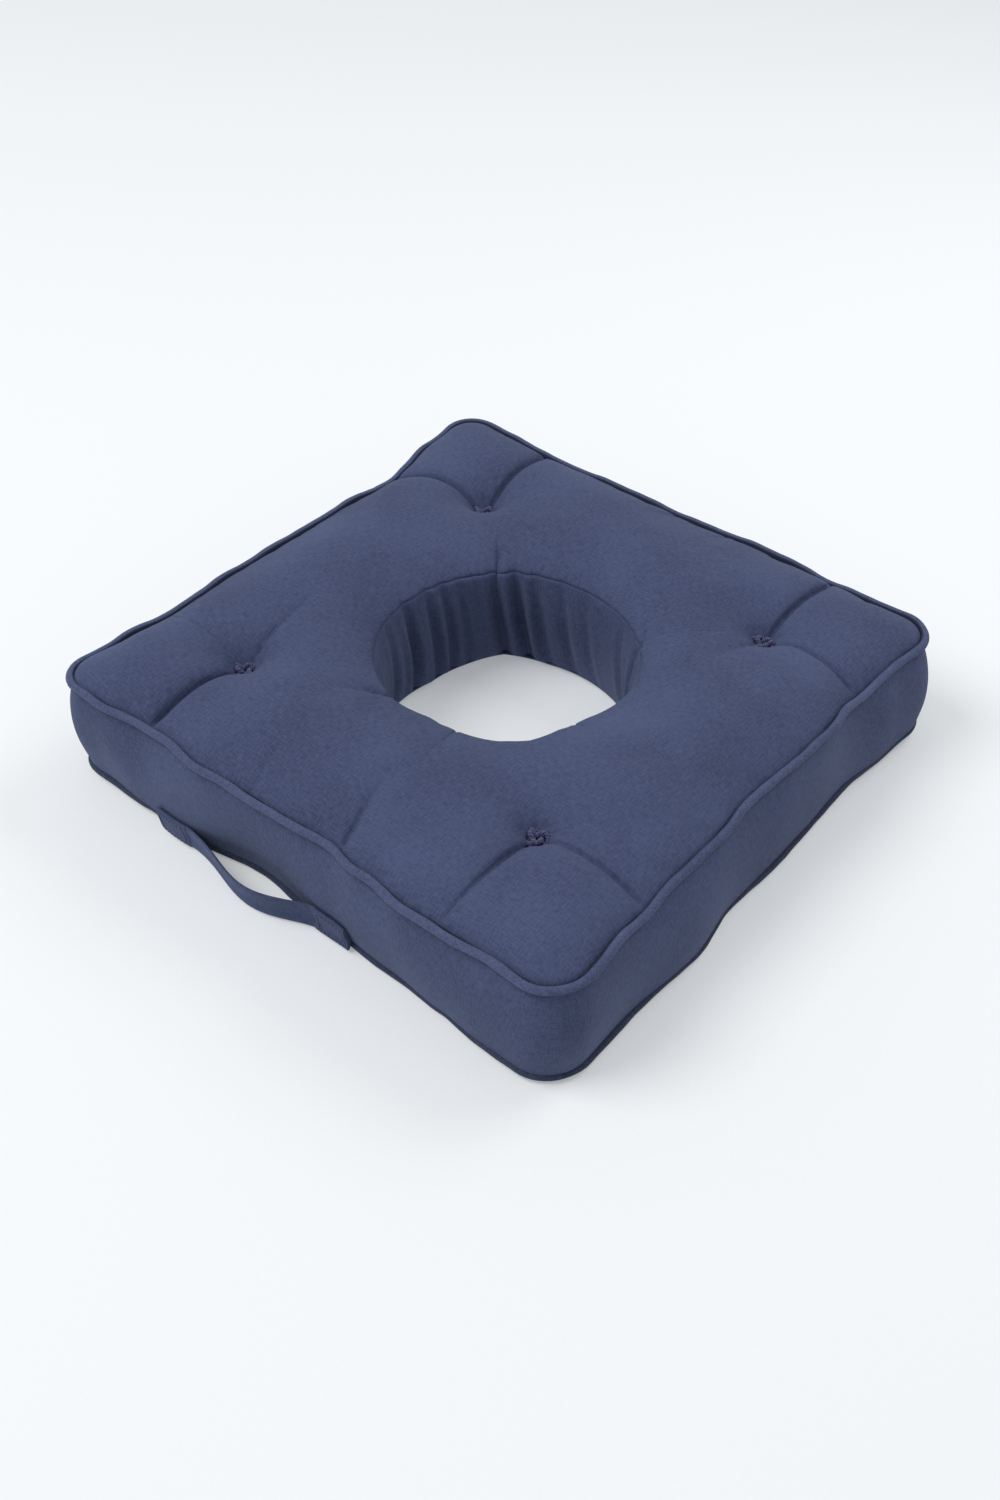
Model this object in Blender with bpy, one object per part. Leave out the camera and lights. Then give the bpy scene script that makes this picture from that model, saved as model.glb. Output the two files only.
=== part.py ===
"""Tufted square seat cushion with a round hole through it and a carrying strap.

Metres, +Z up. The cushion lies on its bottom panel at Z = 0, with the strap on its -Y side.
The origin is under the middle of the whole object, strap included.
"""

import math

import bmesh
import bpy
from mathutils import Matrix, Vector

# Driving dimensions of the cushion
CUSHION = 0.400  # side, across the piping
PIPED_HEIGHT = 0.083  # floor to the top of the upper piping
CROWN_RISE = 0.0135  # top of the piping to the flat of the crowned top
HOLE_RADIUS = 0.086
CORNER_RADIUS = 0.022  # of the piping's middle line
CROWN_RUN = 0.035  # distance from a seam over which the top rises to its flat
FABRIC = 0.0012  # panel and band cloth
SEAM_ALLOWANCE = 0.008
GAP = 0.0003  # between pieces that touch

# Piping
PIPING_CORD = 0.0040  # diameter of the cord inside
PIPING_CLOTH = 0.0009
CORD_CLEARANCE = 0.00035  # between the cord and its cover, all round
FLANGE_SLIT = 0.0003  # between the two layers of the piping's sewn flange
BAND_ROUND = 0.012  # depth over which the side band swells out from under the piping

# Tufts
TUFT_REACH = 0.120  # from the cushion's middle to a tuft, along X and along Y
TUFT_DEPTH = 0.022  # from the flat of the top down to the panel under a tuft
TUFT_WIDTH = 0.017
TUFT_HEIGHT = 0.0074
TUFT_OFF_FLOOR = 0.0008  # from a lower tuft to the floor
SEAT_MARGIN = 0.0005  # flat seat of a dimple past its tuft, all round
DIMPLE_SLOPE = 0.025  # width of a dimple's slope, from its seat to its rim
TWINE = 0.0016

# Carrying strap
STRAP_WIDTH = 0.021
STRAP_CLOTH = 0.0015
STRAP_LENGTH = 0.164  # between the outer ends of the two sewn ends
STRAP_END = 0.027  # length of one sewn end
STRAP_MIDDLE = -0.036  # X of the strap's middle
LOOP_REACH = 0.020  # how far the loose loop bows out from its sewn ends
STRAP_CLEAR = 0.0005  # lower edge of the strap to the floor
STITCH_INSET = 0.003
STITCH_THREAD = 0.0006

# Mesh resolution
CORNER_STEPS = 4  # facets in a round corner
RAYS_ON_SIDE = (0.72, 0.36, 0.0, -0.36, -0.72)  # where the panels' rays meet a straight side
LOOP_STEPS = 16
FOLD_STEPS = 4
PIPE_STEPS = 9
CORD_SIDES = 8
TWINE_SIDES = 8

# Sizes that follow
CROWN_HEIGHT = PIPED_HEIGHT + CROWN_RISE
PIPE_R = PIPING_CORD / 2 + CORD_CLEARANCE + PIPING_CLOTH
PIPE_LINE = CUSHION / 2 - PIPE_R  # piping's middle line, from the cushion's middle
UPPER_PIPE = PIPED_HEIGHT - PIPE_R
LOWER_PIPE = PIPE_R
FLANGE = 2 * PIPING_CLOTH + FLANGE_SLIT
SEAM_OFFSET = FLANGE / 2 + GAP  # from a piping's middle to the cloth sewn beside its flange
SEAM_EDGE = math.sqrt((PIPE_R + GAP) ** 2 - SEAM_OFFSET ** 2)
PANEL_HALF = PIPE_LINE - SEAM_EDGE
UPPER_SEAM = UPPER_PIPE + SEAM_OFFSET + FABRIC  # outer face of the upper panel at its edges
LOWER_SEAM = LOWER_PIPE - SEAM_OFFSET - FABRIC
BAND_HALF = CUSHION / 2
TUFT_SEAT = TUFT_WIDTH / 2 + SEAT_MARGIN
TUFT_FLOOR = CROWN_HEIGHT - TUFT_DEPTH
TUFT_ROOM = TUFT_OFF_FLOOR + TUFT_HEIGHT + GAP  # height of the lower panel over a tuft
STRAP_LINE = BAND_HALF + GAP + 1.5 * STRAP_CLOTH + GAP  # middle of the strap's outer layer
OVERHANG = STRAP_LINE + LOOP_REACH + STRAP_CLOTH / 2 - CUSHION / 2
CUSHION_Y = OVERHANG / 2

COTTON = (0.075, 0.094, 0.174)
CORD_WHITE = (0.62, 0.60, 0.55)
FIBRE_WHITE = (0.80, 0.79, 0.76)
YARN_NAVY = (0.045, 0.058, 0.110)


# ---------------------------------------------------------------- scene and materials

def clear_scene():
    for obj in list(bpy.data.objects):
        bpy.data.objects.remove(obj)


def make_material(name, colour, roughness):
    material = bpy.data.materials.new(name)
    material.use_nodes = True
    shader = material.node_tree.nodes["Principled BSDF"]
    shader.inputs["Base Color"].default_value = (*colour, 1.0)
    shader.inputs["Roughness"].default_value = roughness
    shader.inputs["Metallic"].default_value = 0.0
    return material


def make_empty(name, location, parent=None):
    empty = bpy.data.objects.new(name, None)
    empty.location = location
    empty.parent = parent
    bpy.context.collection.objects.link(empty)
    return empty


def make_object(name, bm, material, parent, smooth_angle=35):
    bmesh.ops.recalc_face_normals(bm, faces=bm.faces)
    mesh = bpy.data.meshes.new(name)
    bm.to_mesh(mesh)
    bm.free()
    mesh.shade_smooth()
    mesh.set_sharp_from_angle(angle=math.radians(smooth_angle))
    mesh.materials.append(material)
    return place(name, mesh, parent)


def place(name, mesh, parent, location=(0, 0, 0)):
    obj = bpy.data.objects.new(name, mesh)
    obj.location = location
    obj.parent = parent
    bpy.context.collection.objects.link(obj)
    return obj


# ---------------------------------------------------------------- plan outlines

def rounded_square(half, radius, rays=()):
    """Plan points of a square with round corners, anticlockwise from the +X +Y corner."""
    points = []
    for quarter in range(4):
        turn = Matrix.Rotation(quarter * math.pi / 2, 2)
        for step in range(CORNER_STEPS + 1):
            angle = step / CORNER_STEPS * math.pi / 2
            arc = Vector((math.cos(angle), math.sin(angle))) * radius
            points.append(turn @ (arc + Vector((half - radius, half - radius))))
        for ray in rays:
            points.append(turn @ Vector((ray * (half - radius), half)))
    return points


def beside_piping(offset, rays=()):
    """The piping's middle line moved outwards by an offset."""
    return rounded_square(PIPE_LINE + offset, CORNER_RADIUS + offset, rays)


PANEL_OUTLINE = beside_piping(-SEAM_EDGE, RAYS_ON_SIDE)


def hole_outline(radius):
    """A circle with one point on each of the panels' rays."""
    return [point.normalized() * radius for point in PANEL_OUTLINE]


def across_panel(t):
    """Plan points a share t of the way from the hole's edge to the panel's outer edge."""
    return [a.lerp(b, t) for a, b in zip(hole_outline(HOLE_RADIUS), PANEL_OUTLINE)]


def at_height(outline, z):
    return [(point.x, point.y, z) for point in outline]


# ---------------------------------------------------------------- shaping

def ring_body(name, loops, material, parent):
    """A closed ring whose skin runs through the loops in turn and back to the first.

    Its quads are split along their shorter diagonal, so two skins that follow the same curved
    face one gap apart are split alike and stay clear of each other.
    """
    bm = bmesh.new()
    rows = [[bm.verts.new(point) for point in loop] for loop in loops]
    for row, following in zip(rows, rows[1:] + rows[:1]):
        for i in range(len(row)):
            j = (i + 1) % len(row)
            bm.faces.new((row[i], row[j], following[j], following[i]))
    bmesh.ops.triangulate(bm, faces=bm.faces, quad_method="SHORT_EDGE")
    return make_object(name, bm, material, parent)


def thickened(profile, thickness):
    """A closed section: a profile of (offset, z) points and its copy, moved to its right."""
    points = [Vector(point) for point in profile]
    moved = []
    for i, point in enumerate(points):
        before = (point - points[i - 1]).normalized() if i else None
        after = (points[i + 1] - point).normalized() if i + 1 < len(points) else None
        before, after = before or after, after or before
        mid = (before + after).normalized()
        right = Vector((mid.y, -mid.x))
        moved.append(point + right * thickness / max(0.5, mid.dot(before)))
    return points, moved


def smooth_step(value):
    value = min(1.0, max(0.0, value))
    return value * value * (3 - 2 * value)


def dimple(point):
    """1 on the flat seat of a tuft, falling to 0 at the dimple's rim."""
    nearest = Vector((abs(point.x) - TUFT_REACH, abs(point.y) - TUFT_REACH)).length
    return 1 - smooth_step((nearest - TUFT_SEAT) / DIMPLE_SLOPE)


def seam_distance(point):
    """Distance in from the nearer of a panel's two edges."""
    radius = CORNER_RADIUS - SEAM_EDGE
    corner = PANEL_HALF - radius
    past = Vector((abs(point.x) - corner, abs(point.y) - corner))
    from_edge = radius - (past.length if min(past) > 0 else max(past))
    return max(0.0, min(point.length - HOLE_RADIUS, from_edge))


def upper_face(point):
    """Height of the upper panel's outer face."""
    run = min(1.0, seam_distance(point) / CROWN_RUN)
    crown = UPPER_SEAM + (CROWN_HEIGHT - UPPER_SEAM) * run * (2 - run)
    return crown + (TUFT_FLOOR - crown) * dimple(point)


def lower_face(point):
    """Height of the lower panel's outer face, flat on the floor but for seams and dimples."""
    run = min(1.0, seam_distance(point) / (SEAM_ALLOWANCE + FABRIC))
    return max(LOWER_SEAM * (1 - run), TUFT_ROOM * dimple(point))


def spread(first, last, count):
    return [first + (last - first) * i / (count - 1) for i in range(count)]


NARROW_RUN = PANEL_HALF - HOLE_RADIUS
CORNER_RUN = PANEL_OUTLINE[CORNER_STEPS // 2].length - HOLE_RADIUS
LIP_T = (SEAM_ALLOWANCE + 2 * GAP) / NARROW_RUN
TUFT_T = (TUFT_REACH * math.sqrt(2) - HOLE_RADIUS) / CORNER_RUN
SEAT_T = TUFT_SEAT / CORNER_RUN
INNER_T = (
    spread(LIP_T, TUFT_T - SEAT_T, 4)
    + [TUFT_T]
    + spread(TUFT_T + SEAT_T, 1 - LIP_T, 4)
)
PANEL_T = [0.0, *INNER_T, 1.0]


def face_loops(shares, height, offset=0.0):
    """Loops across a panel at some shares of its width, each point at a height's value."""
    loops = []
    for t in shares:
        loops.append([(p.x, p.y, height(p) + offset) for p in across_panel(t)])
    return loops


# ---------------------------------------------------------------- cover

def make_panel(name, height, inside, material, parent):
    """Cloth panel: its outer face, and its inner face one cloth further in."""
    outer = face_loops(PANEL_T, height)
    inner = face_loops(PANEL_T, height, inside * FABRIC)
    return ring_body(name, outer + inner[::-1], material, parent)


def side_profile():
    """Outer face of the side band, from the tip of its upper seam lip to that of the lower."""
    start = Vector((-PIPE_R / 2, -PIPE_R - GAP))
    half = [Vector((-SEAM_EDGE - SEAM_ALLOWANCE, -SEAM_OFFSET)), Vector((-SEAM_EDGE, -SEAM_OFFSET))]
    for step in range(3):
        angle = step / 2 * math.pi / 2
        out = (BAND_HALF - PIPE_LINE - start.x) * math.sin(angle)
        down = (BAND_ROUND + start.y) * (1 - math.cos(angle))
        half.append(start + Vector((out, -down)))
    upper = [Vector((point.x, UPPER_PIPE + point.y)) for point in half]
    lower = [Vector((point.x, LOWER_PIPE - point.y)) for point in half]
    return upper + lower[::-1]


def hole_profile():
    """Face of the hole's band that shows, lip to lip, as (distance into the cushion, z)."""
    top = UPPER_SEAM - FABRIC - GAP
    bottom = LOWER_SEAM + FABRIC + GAP
    lip = SEAM_ALLOWANCE
    return [Vector((lip, top)), Vector((0, top)), Vector((0, bottom)), Vector((lip, bottom))]


def make_side_band(material, parent):
    outer, inner = thickened(side_profile(), FABRIC)
    section = outer + inner[::-1]
    loops = [at_height(beside_piping(point.x), point.y) for point in section]
    ring_body("side_band", loops, material, parent)


def make_hole_band(material, parent):
    face, back = thickened(hole_profile(), -FABRIC)
    section = face + back[::-1]
    loops = [at_height(hole_outline(HOLE_RADIUS + point.x), point.y) for point in section]
    ring_body("hole_band", loops, material, parent)


# ---------------------------------------------------------------- piping

def piping_section():
    """Keyhole section of the piping's cover: a tube of cloth and its two flange layers."""
    tube_inside = PIPE_R - PIPING_CLOTH
    tip = -SEAM_EDGE - SEAM_ALLOWANCE
    section = []
    for radius, half_flange, turns in (
        (PIPE_R, FLANGE / 2, range(PIPE_STEPS + 1)),
        (tube_inside, FLANGE_SLIT / 2, range(PIPE_STEPS, -1, -1)),
    ):
        opening = math.asin(half_flange / radius)
        arc = []
        for turn in turns:
            angle = math.pi - opening - turn / PIPE_STEPS * (2 * math.pi - 2 * opening)
            arc.append(Vector((math.cos(angle), math.sin(angle))) * radius)
        sign = 1 if radius == PIPE_R else -1
        ends = [Vector((tip, sign * half_flange)), Vector((tip, -sign * half_flange))]
        section += [ends[0], *arc, ends[1]]
    return section


def make_piping(level, z, cloth, cord, parent):
    cover = [at_height(beside_piping(point.x), z + point.y) for point in piping_section()]
    ring_body(f"{level}_piping_cover", cover, cloth, parent)
    core = []
    for side in range(CORD_SIDES):
        angle = (side + 0.5) / CORD_SIDES * 2 * math.pi
        out = math.cos(angle) * PIPING_CORD / 2
        core.append(at_height(beside_piping(out), z + math.sin(angle) * PIPING_CORD / 2))
    ring_body(f"{level}_piping_cord", core, cord, parent)


# ---------------------------------------------------------------- filling and tufts

def make_filling(material, parent):
    """Fibre body that fills the cover, one gap inside the panels, bands and seam lips."""
    under_cloth = FABRIC + GAP
    upper = face_loops(INNER_T, upper_face, -under_cloth)
    lower = face_loops(INNER_T, lower_face, under_cloth)
    lip_top = UPPER_PIPE - SEAM_OFFSET - under_cloth
    lip_bottom = LOWER_PIPE + SEAM_OFFSET + under_cloth
    hole_lips = [hole_profile()[0].y - under_cloth, hole_profile()[-1].y + under_cloth]

    band = thickened(side_profile(), under_cloth)[1][2:-2]
    band_loops = [beside_piping(point.x, RAYS_ON_SIDE) for point in band]
    sides = [at_height(loop, point.y) for loop, point in zip(band_loops, band)]
    beside_hole = hole_outline(HOLE_RADIUS + under_cloth)
    hole_edge, outer_edge = across_panel(LIP_T), across_panel(1 - LIP_T)

    loops = [*upper, at_height(outer_edge, lip_top), *sides, at_height(outer_edge, lip_bottom)]
    loops += [*lower[::-1], at_height(hole_edge, hole_lips[1])]
    loops += [at_height(beside_hole, z) for z in hole_lips[::-1]]
    loops += [at_height(hole_edge, hole_lips[0])]
    return ring_body("fibre_filling", loops, material, parent)


def tuft_places():
    for end, y in (("front", -TUFT_REACH), ("back", TUFT_REACH)):
        for side, x in (("left", -TUFT_REACH), ("right", TUFT_REACH)):
            yield f"{end}_{side}", x, y


def make_tufts(yarn, twine, parent):
    """Yarn tufts in the dimples, and the twine that pulls each pair together."""
    bm = bmesh.new()
    shape = Matrix.Diagonal((TUFT_WIDTH / 2, TUFT_WIDTH / 2, TUFT_HEIGHT / 2, 1))
    bmesh.ops.create_icosphere(bm, subdivisions=2, radius=1, matrix=shape)
    tuft_mesh = bpy.data.meshes.new("tuft")
    bm.to_mesh(tuft_mesh)
    bm.free()
    tuft_mesh.shade_smooth()
    tuft_mesh.materials.append(yarn)

    top = TUFT_FLOOR + GAP + TUFT_HEIGHT / 2
    bottom = TUFT_ROOM - GAP - TUFT_HEIGHT / 2
    twine_length = TUFT_FLOOR - TUFT_ROOM
    twine_mesh = cylinder_mesh("twine", TWINE / 2, twine_length, TWINE_SIDES)
    twine_mesh.materials.append(twine)
    for name, x, y in tuft_places():
        place(f"top_tuft_{name}", tuft_mesh, parent, (x, y, top))
        place(f"bottom_tuft_{name}", tuft_mesh, parent, (x, y, bottom))
        place(f"tuft_twine_{name}", twine_mesh, parent, (x, y, TUFT_ROOM + twine_length / 2))


def cylinder_mesh(name, radius, length, sides):
    bm = bmesh.new()
    bmesh.ops.create_cone(
        bm, cap_ends=True, segments=sides, radius1=radius, radius2=radius, depth=length
    )
    mesh = bpy.data.meshes.new(name)
    bm.to_mesh(mesh)
    bm.free()
    return mesh


def cut_twine_channels(pieces, parent):
    """Holes for the twines, through both panels and the filling."""
    bm = bmesh.new()
    for _, x, y in tuft_places():
        bmesh.ops.create_cone(
            bm,
            cap_ends=True,
            segments=TWINE_SIDES,
            radius1=TWINE / 2 + GAP,
            radius2=TWINE / 2 + GAP,
            depth=2 * CROWN_HEIGHT,
            matrix=Matrix.Translation((x, y, CROWN_HEIGHT / 2)),
        )
    mesh = bpy.data.meshes.new("twine_channel_cutter")
    bm.to_mesh(mesh)
    bm.free()
    cutter = place("twine_channel_cutter", mesh, parent)
    cutter.hide_render = True
    cutter.display_type = "WIRE"
    for piece in pieces:
        modifier = piece.modifiers.new("twine_channels", "BOOLEAN")
        modifier.operation = "DIFFERENCE"
        modifier.solver = "EXACT"
        modifier.object = cutter


# ---------------------------------------------------------------- carrying strap

def ribbon(plan, thickness, low, high):
    """A strip of cloth standing on edge along plan points."""
    left, right = thickened(plan, thickness / 2)
    left = [2 * point - moved for point, moved in zip(left, right)]
    bm = bmesh.new()
    rows = []
    for a, b in zip(left, right):
        corners = ((a.x, a.y, low), (b.x, b.y, low), (b.x, b.y, high), (a.x, a.y, high))
        rows.append([bm.verts.new(corner) for corner in corners])
    for row, following in zip(rows, rows[1:]):
        for i in range(4):
            j = (i + 1) % 4
            bm.faces.new((row[i], row[j], following[j], following[i]))
    bm.faces.new(rows[0])
    bm.faces.new(rows[-1])
    return bm


def loop_plan():
    """Plan of the loose loop: it leaves both sewn ends along the band and bows out between."""
    half = STRAP_LENGTH / 2 - STRAP_END - GAP
    plan = []
    for step in range(LOOP_STEPS + 1):
        share = step / LOOP_STEPS
        bow = LOOP_REACH * math.sin(math.pi * share) ** 2
        plan.append(Vector((STRAP_MIDDLE + (2 * share - 1) * half, -STRAP_LINE - bow)))
    return plan


def folded_end_plan(side):
    """Plan of a sewn end: the outer layer, the hairpin fold and the layer turned under."""
    fold = (STRAP_CLOTH + GAP) / 2
    inner = STRAP_MIDDLE + side * (STRAP_LENGTH / 2 - STRAP_END)
    outer = STRAP_MIDDLE + side * (STRAP_LENGTH / 2 - fold - STRAP_CLOTH / 2)
    plan = [Vector((inner, -STRAP_LINE))]
    for step in range(FOLD_STEPS + 1):
        angle = step / FOLD_STEPS * math.pi
        out = side * fold * math.sin(angle)
        plan.append(Vector((outer + out, -STRAP_LINE + fold * (1 - math.cos(angle)))))
    plan.append(Vector((inner, -STRAP_LINE + 2 * fold)))
    return plan


def make_stitching(name, side, thread, parent):
    """Rectangle of thread that holds a sewn end, on its outer face."""
    face = -STRAP_LINE - STRAP_CLOTH / 2 - GAP
    ends = [STRAP_LENGTH / 2 - STRAP_END + STITCH_INSET, STRAP_LENGTH / 2 - STITCH_INSET]
    x0, x1 = sorted(STRAP_MIDDLE + side * end for end in ends)
    z0, z1 = STRAP_CLEAR + STITCH_INSET, STRAP_CLEAR + STRAP_WIDTH - STITCH_INSET
    loops = []
    for inset, y in (
        (0, face),
        (0, face - STITCH_THREAD),
        (STITCH_THREAD, face - STITCH_THREAD),
        (STITCH_THREAD, face),
    ):
        low, high = z0 + inset, z1 - inset
        left, right = x0 + inset, x1 - inset
        loops.append([(left, y, low), (right, y, low), (right, y, high), (left, y, high)])
    ring_body(name, loops, thread, parent)


def make_strap(cloth, thread, parent):
    low, high = STRAP_CLEAR, STRAP_CLEAR + STRAP_WIDTH
    for name, side in (("left", -1), ("right", 1)):
        bm = ribbon(folded_end_plan(side), STRAP_CLOTH, low, high)
        make_object(f"handle_end_{name}", bm, cloth, parent)
        make_stitching(f"handle_stitching_{name}", side, thread, parent)

    hinge = Vector((STRAP_MIDDLE, -STRAP_LINE, high))
    axis = make_empty("handle_swing_axis", hinge, parent)
    bm = ribbon(loop_plan(), STRAP_CLOTH, low, high)
    bmesh.ops.translate(bm, verts=bm.verts, vec=-hinge)
    make_object("handle_loop", bm, cloth, axis)


# ---------------------------------------------------------------- the cushion

def build():
    clear_scene()
    cotton = make_material("cotton_cover", COTTON, 0.9)
    cord = make_material("piping_cord", CORD_WHITE, 0.85)
    fibre = make_material("fibre_fill", FIBRE_WHITE, 0.95)
    yarn = make_material("tuft_yarn", YARN_NAVY, 0.95)
    thread = make_material("sewing_thread", YARN_NAVY, 0.7)

    cushion = make_empty("cushion", (0, CUSHION_Y, 0))
    top = make_panel("top_panel", upper_face, -1, cotton, cushion)
    bottom = make_panel("bottom_panel", lower_face, 1, cotton, cushion)
    make_side_band(cotton, cushion)
    make_hole_band(cotton, cushion)
    make_piping("top", UPPER_PIPE, cotton, cord, cushion)
    make_piping("bottom", LOWER_PIPE, cotton, cord, cushion)
    filling = make_filling(fibre, cushion)
    make_tufts(yarn, thread, cushion)
    cut_twine_channels((top, bottom, filling), cushion)
    make_strap(cotton, thread, cushion)


build()
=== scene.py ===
# %% [markdown]
# # A tufted seat cushion with a hole through it
# The object is a boxed cushion: an upper and a lower panel of cotton, a band of the same cloth
# round the sides and another lining the round hole. Fibre stuffs it, four twines pull the panels
# together at knots of yarn, and a strap for carrying it is sewn low on one side.
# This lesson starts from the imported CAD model. It gives every size and every place, so nothing
# here is fitted by eye to the part.

import math

import bmesh
import bpy
import numpy as np
from mathutils import Matrix, Vector
from mathutils.bvhtree import BVHTree
from mathutils.kdtree import KDTree


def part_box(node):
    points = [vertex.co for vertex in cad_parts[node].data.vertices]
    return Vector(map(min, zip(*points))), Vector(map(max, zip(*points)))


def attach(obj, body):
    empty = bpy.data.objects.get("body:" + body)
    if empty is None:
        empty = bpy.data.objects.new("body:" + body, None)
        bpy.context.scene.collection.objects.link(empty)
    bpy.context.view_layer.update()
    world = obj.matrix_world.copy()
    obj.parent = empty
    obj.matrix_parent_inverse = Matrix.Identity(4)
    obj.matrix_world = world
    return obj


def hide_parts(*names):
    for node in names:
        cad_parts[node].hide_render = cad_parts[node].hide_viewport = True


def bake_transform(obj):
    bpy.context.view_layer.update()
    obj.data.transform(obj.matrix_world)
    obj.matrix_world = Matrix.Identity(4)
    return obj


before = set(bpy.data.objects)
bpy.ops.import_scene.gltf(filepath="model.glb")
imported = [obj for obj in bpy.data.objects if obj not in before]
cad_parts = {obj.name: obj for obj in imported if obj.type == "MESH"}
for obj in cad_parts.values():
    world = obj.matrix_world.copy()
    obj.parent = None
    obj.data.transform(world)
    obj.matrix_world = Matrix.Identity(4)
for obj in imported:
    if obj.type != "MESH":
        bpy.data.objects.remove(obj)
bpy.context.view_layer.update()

# %% [markdown]
# ## Sizes read from the frame
# A cushion is drawn most easily about its own middle, so the pieces are modelled round the middle
# of the side band and moved to the frame's place at the end.

# %% The cushion's measures
band_low, band_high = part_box("side_band")
cover_low, cover_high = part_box("top_piping_cover")
hole_low, hole_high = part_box("hole_band")
tuft_low, tuft_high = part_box("top_tuft_back_right")
LINING_LIP = 0.008  # seam allowance of the hole's lining, turned into the cushion

MIDDLE = Vector(((band_low.x + band_high.x) / 2, (band_low.y + band_high.y) / 2, 0))
HALF = (band_high.x - band_low.x) / 2
PIPE_R = (cover_high.z - cover_low.z) / 2
PIPE_Z = (cover_high.z + cover_low.z) / 2
CROWN_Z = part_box("top_panel")[1].z
HOLE_R = (hole_high.x - hole_low.x) / 2 - LINING_LIP
TUFT_AT = (tuft_low.x + tuft_high.x) / 2 - MIDDLE.x
TUFT_Z = tuft_low.z
UNDER_TUFT_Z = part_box("bottom_tuft_back_right")[1].z
CORNER_R = 0.022  # of the piping's middle line
print(f"half {HALF:.4f} pipe z {PIPE_Z:.4f} hole {HOLE_R:.4f} tuft {TUFT_AT:.4f}")

# %% [markdown]
# ## Camera
# A small studio shot looks down at the cushion over its near corner. The camera is set by the
# bearing and height it looks from, its distance and its lens, and aims at the cushion's middle.

# %% Camera
CAMERA_BEARING = 38.85  # degrees from the front towards the right
CAMERA_HEIGHT = 41.24  # degrees above the floor
CAMERA_DISTANCE = 1.119
CAMERA_ROLL = 0.82  # degrees
CAMERA_AIM = MIDDLE + Vector((-0.0012, -0.0050, 0))
CAMERA_LENS = 39.4  # mm

bearing, height = math.radians(CAMERA_BEARING), math.radians(CAMERA_HEIGHT)
away = Vector((
    math.sin(bearing) * math.cos(height),
    -math.cos(bearing) * math.cos(height),
    math.sin(height),
))
bpy.ops.object.camera_add(location=CAMERA_AIM + away * CAMERA_DISTANCE)
camera = bpy.context.object
camera.name = "studio_camera"
camera.rotation_euler = (
    away.to_track_quat("Z", "Y").to_matrix() @ Matrix.Rotation(math.radians(CAMERA_ROLL), 3, "Z")
).to_euler()
camera.data.lens = CAMERA_LENS
camera.data.sensor_width = 36
bpy.context.scene.camera = camera

# %% [markdown]
# ## Plan of the cover
# Cloth that is pulled down at a knot folds in a straight line from the knot to the two nearest
# edges. A grid whose own lines run along those folds can crease sharply there. So the plan has a
# ring from the hole to the square through the four knots, a strip from that square to each edge,
# and a square patch at each corner. Spacing is closer beside the knots and folds.

# %% Plan patches
STRIP_STEPS = 68  # quads along a side, between its two knots
CORNER_STEPS = 20  # from a knot out to the seam
RING_STEPS = 15  # from the hole out to the square of knots
BAND_STEPS = 18  # down a wall
PIPE_LINE = HALF - PIPE_R
SIDES = ("back", "left", "front", "right")
# Where a loose fold starts on a side, so that the grid is closer there too.
LOOSE_STARTS = {"back": (-0.004, 0.036), "left": (), "front": (0.040, -0.030), "right": ()}


def spread(first, last, steps, centres, gain=3.2, width=0.011):
    """Numbers from first to last that lie closer together round the centres."""
    fine = np.linspace(first, last, 2001)
    density = 1 + sum(gain * np.exp(-(((fine - centre) / width) ** 2)) for centre in centres)
    reached = np.concatenate([[0], np.cumsum((density[1:] + density[:-1]) / 2)])
    return np.interp(np.linspace(0, reached[-1], steps + 1), reached, fine)


def rounded_corner(x, y, half):
    """Bends a square's grid so that its corners are arcs of CORNER_R."""
    inner = half - CORNER_R
    u, v = np.maximum(np.abs(x) - inner, 0), np.maximum(np.abs(y) - inner, 0)
    reach = np.maximum(np.maximum(u, v), 1e-9)
    shrink = np.where((u > 0) & (v > 0), reach / np.hypot(u, v).clip(1e-9), 1.0)
    new_x = np.sign(x) * (np.minimum(np.abs(x), inner) + u * shrink)
    new_y = np.sign(y) * (np.minimum(np.abs(y), inner) + v * shrink)
    return new_x, new_y


outward = spread(TUFT_AT, PIPE_LINE, CORNER_STEPS, (TUFT_AT, PIPE_LINE), 1.2)
ring_share = spread(0, 1, RING_STEPS, (0, 1), 0.8, 0.2)


def quarter_patches(quarter):
    """The three patches of one quarter, before it is turned: ring, strip and corner."""
    turn = -1 if SIDES[quarter] in ("front", "right") else 1
    loose = [turn * start for start in LOOSE_STARTS[SIDES[quarter]]]
    along = spread(-TUFT_AT, TUFT_AT, STRIP_STEPS, [-TUFT_AT, TUFT_AT, *loose])
    edge_x, edge_y = along, np.full(len(along), TUFT_AT)
    angle = np.arctan2(edge_y, edge_x)
    rim_x, rim_y = HOLE_R * np.cos(angle), HOLE_R * np.sin(angle)
    share = ring_share[:, None]
    ring = (rim_x + (edge_x - rim_x) * share, rim_y + (edge_y - rim_y) * share)
    strip = np.meshgrid(along, outward)
    corner = rounded_corner(*np.meshgrid(outward, outward), PIPE_LINE)
    return ring, strip, corner


def turned(x, y, quarter):
    """A quarter turn, so many times."""
    for _ in range(quarter):
        x, y = -y, x
    return x, y


print("plan points in a quarter", sum(x.size for x, _ in quarter_patches(0)))

# %% [markdown]
# ## Folds
# A knot pulls the cloth down, and the slack between it and the seams gathers in a fold. A folded
# line is kept as its two ends and how deep it lies at each. Eight run from the knots straight
# out to the seams. The others are short and loose: they run in from a seam, or between a knot
# and the hole, and die away.

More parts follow.
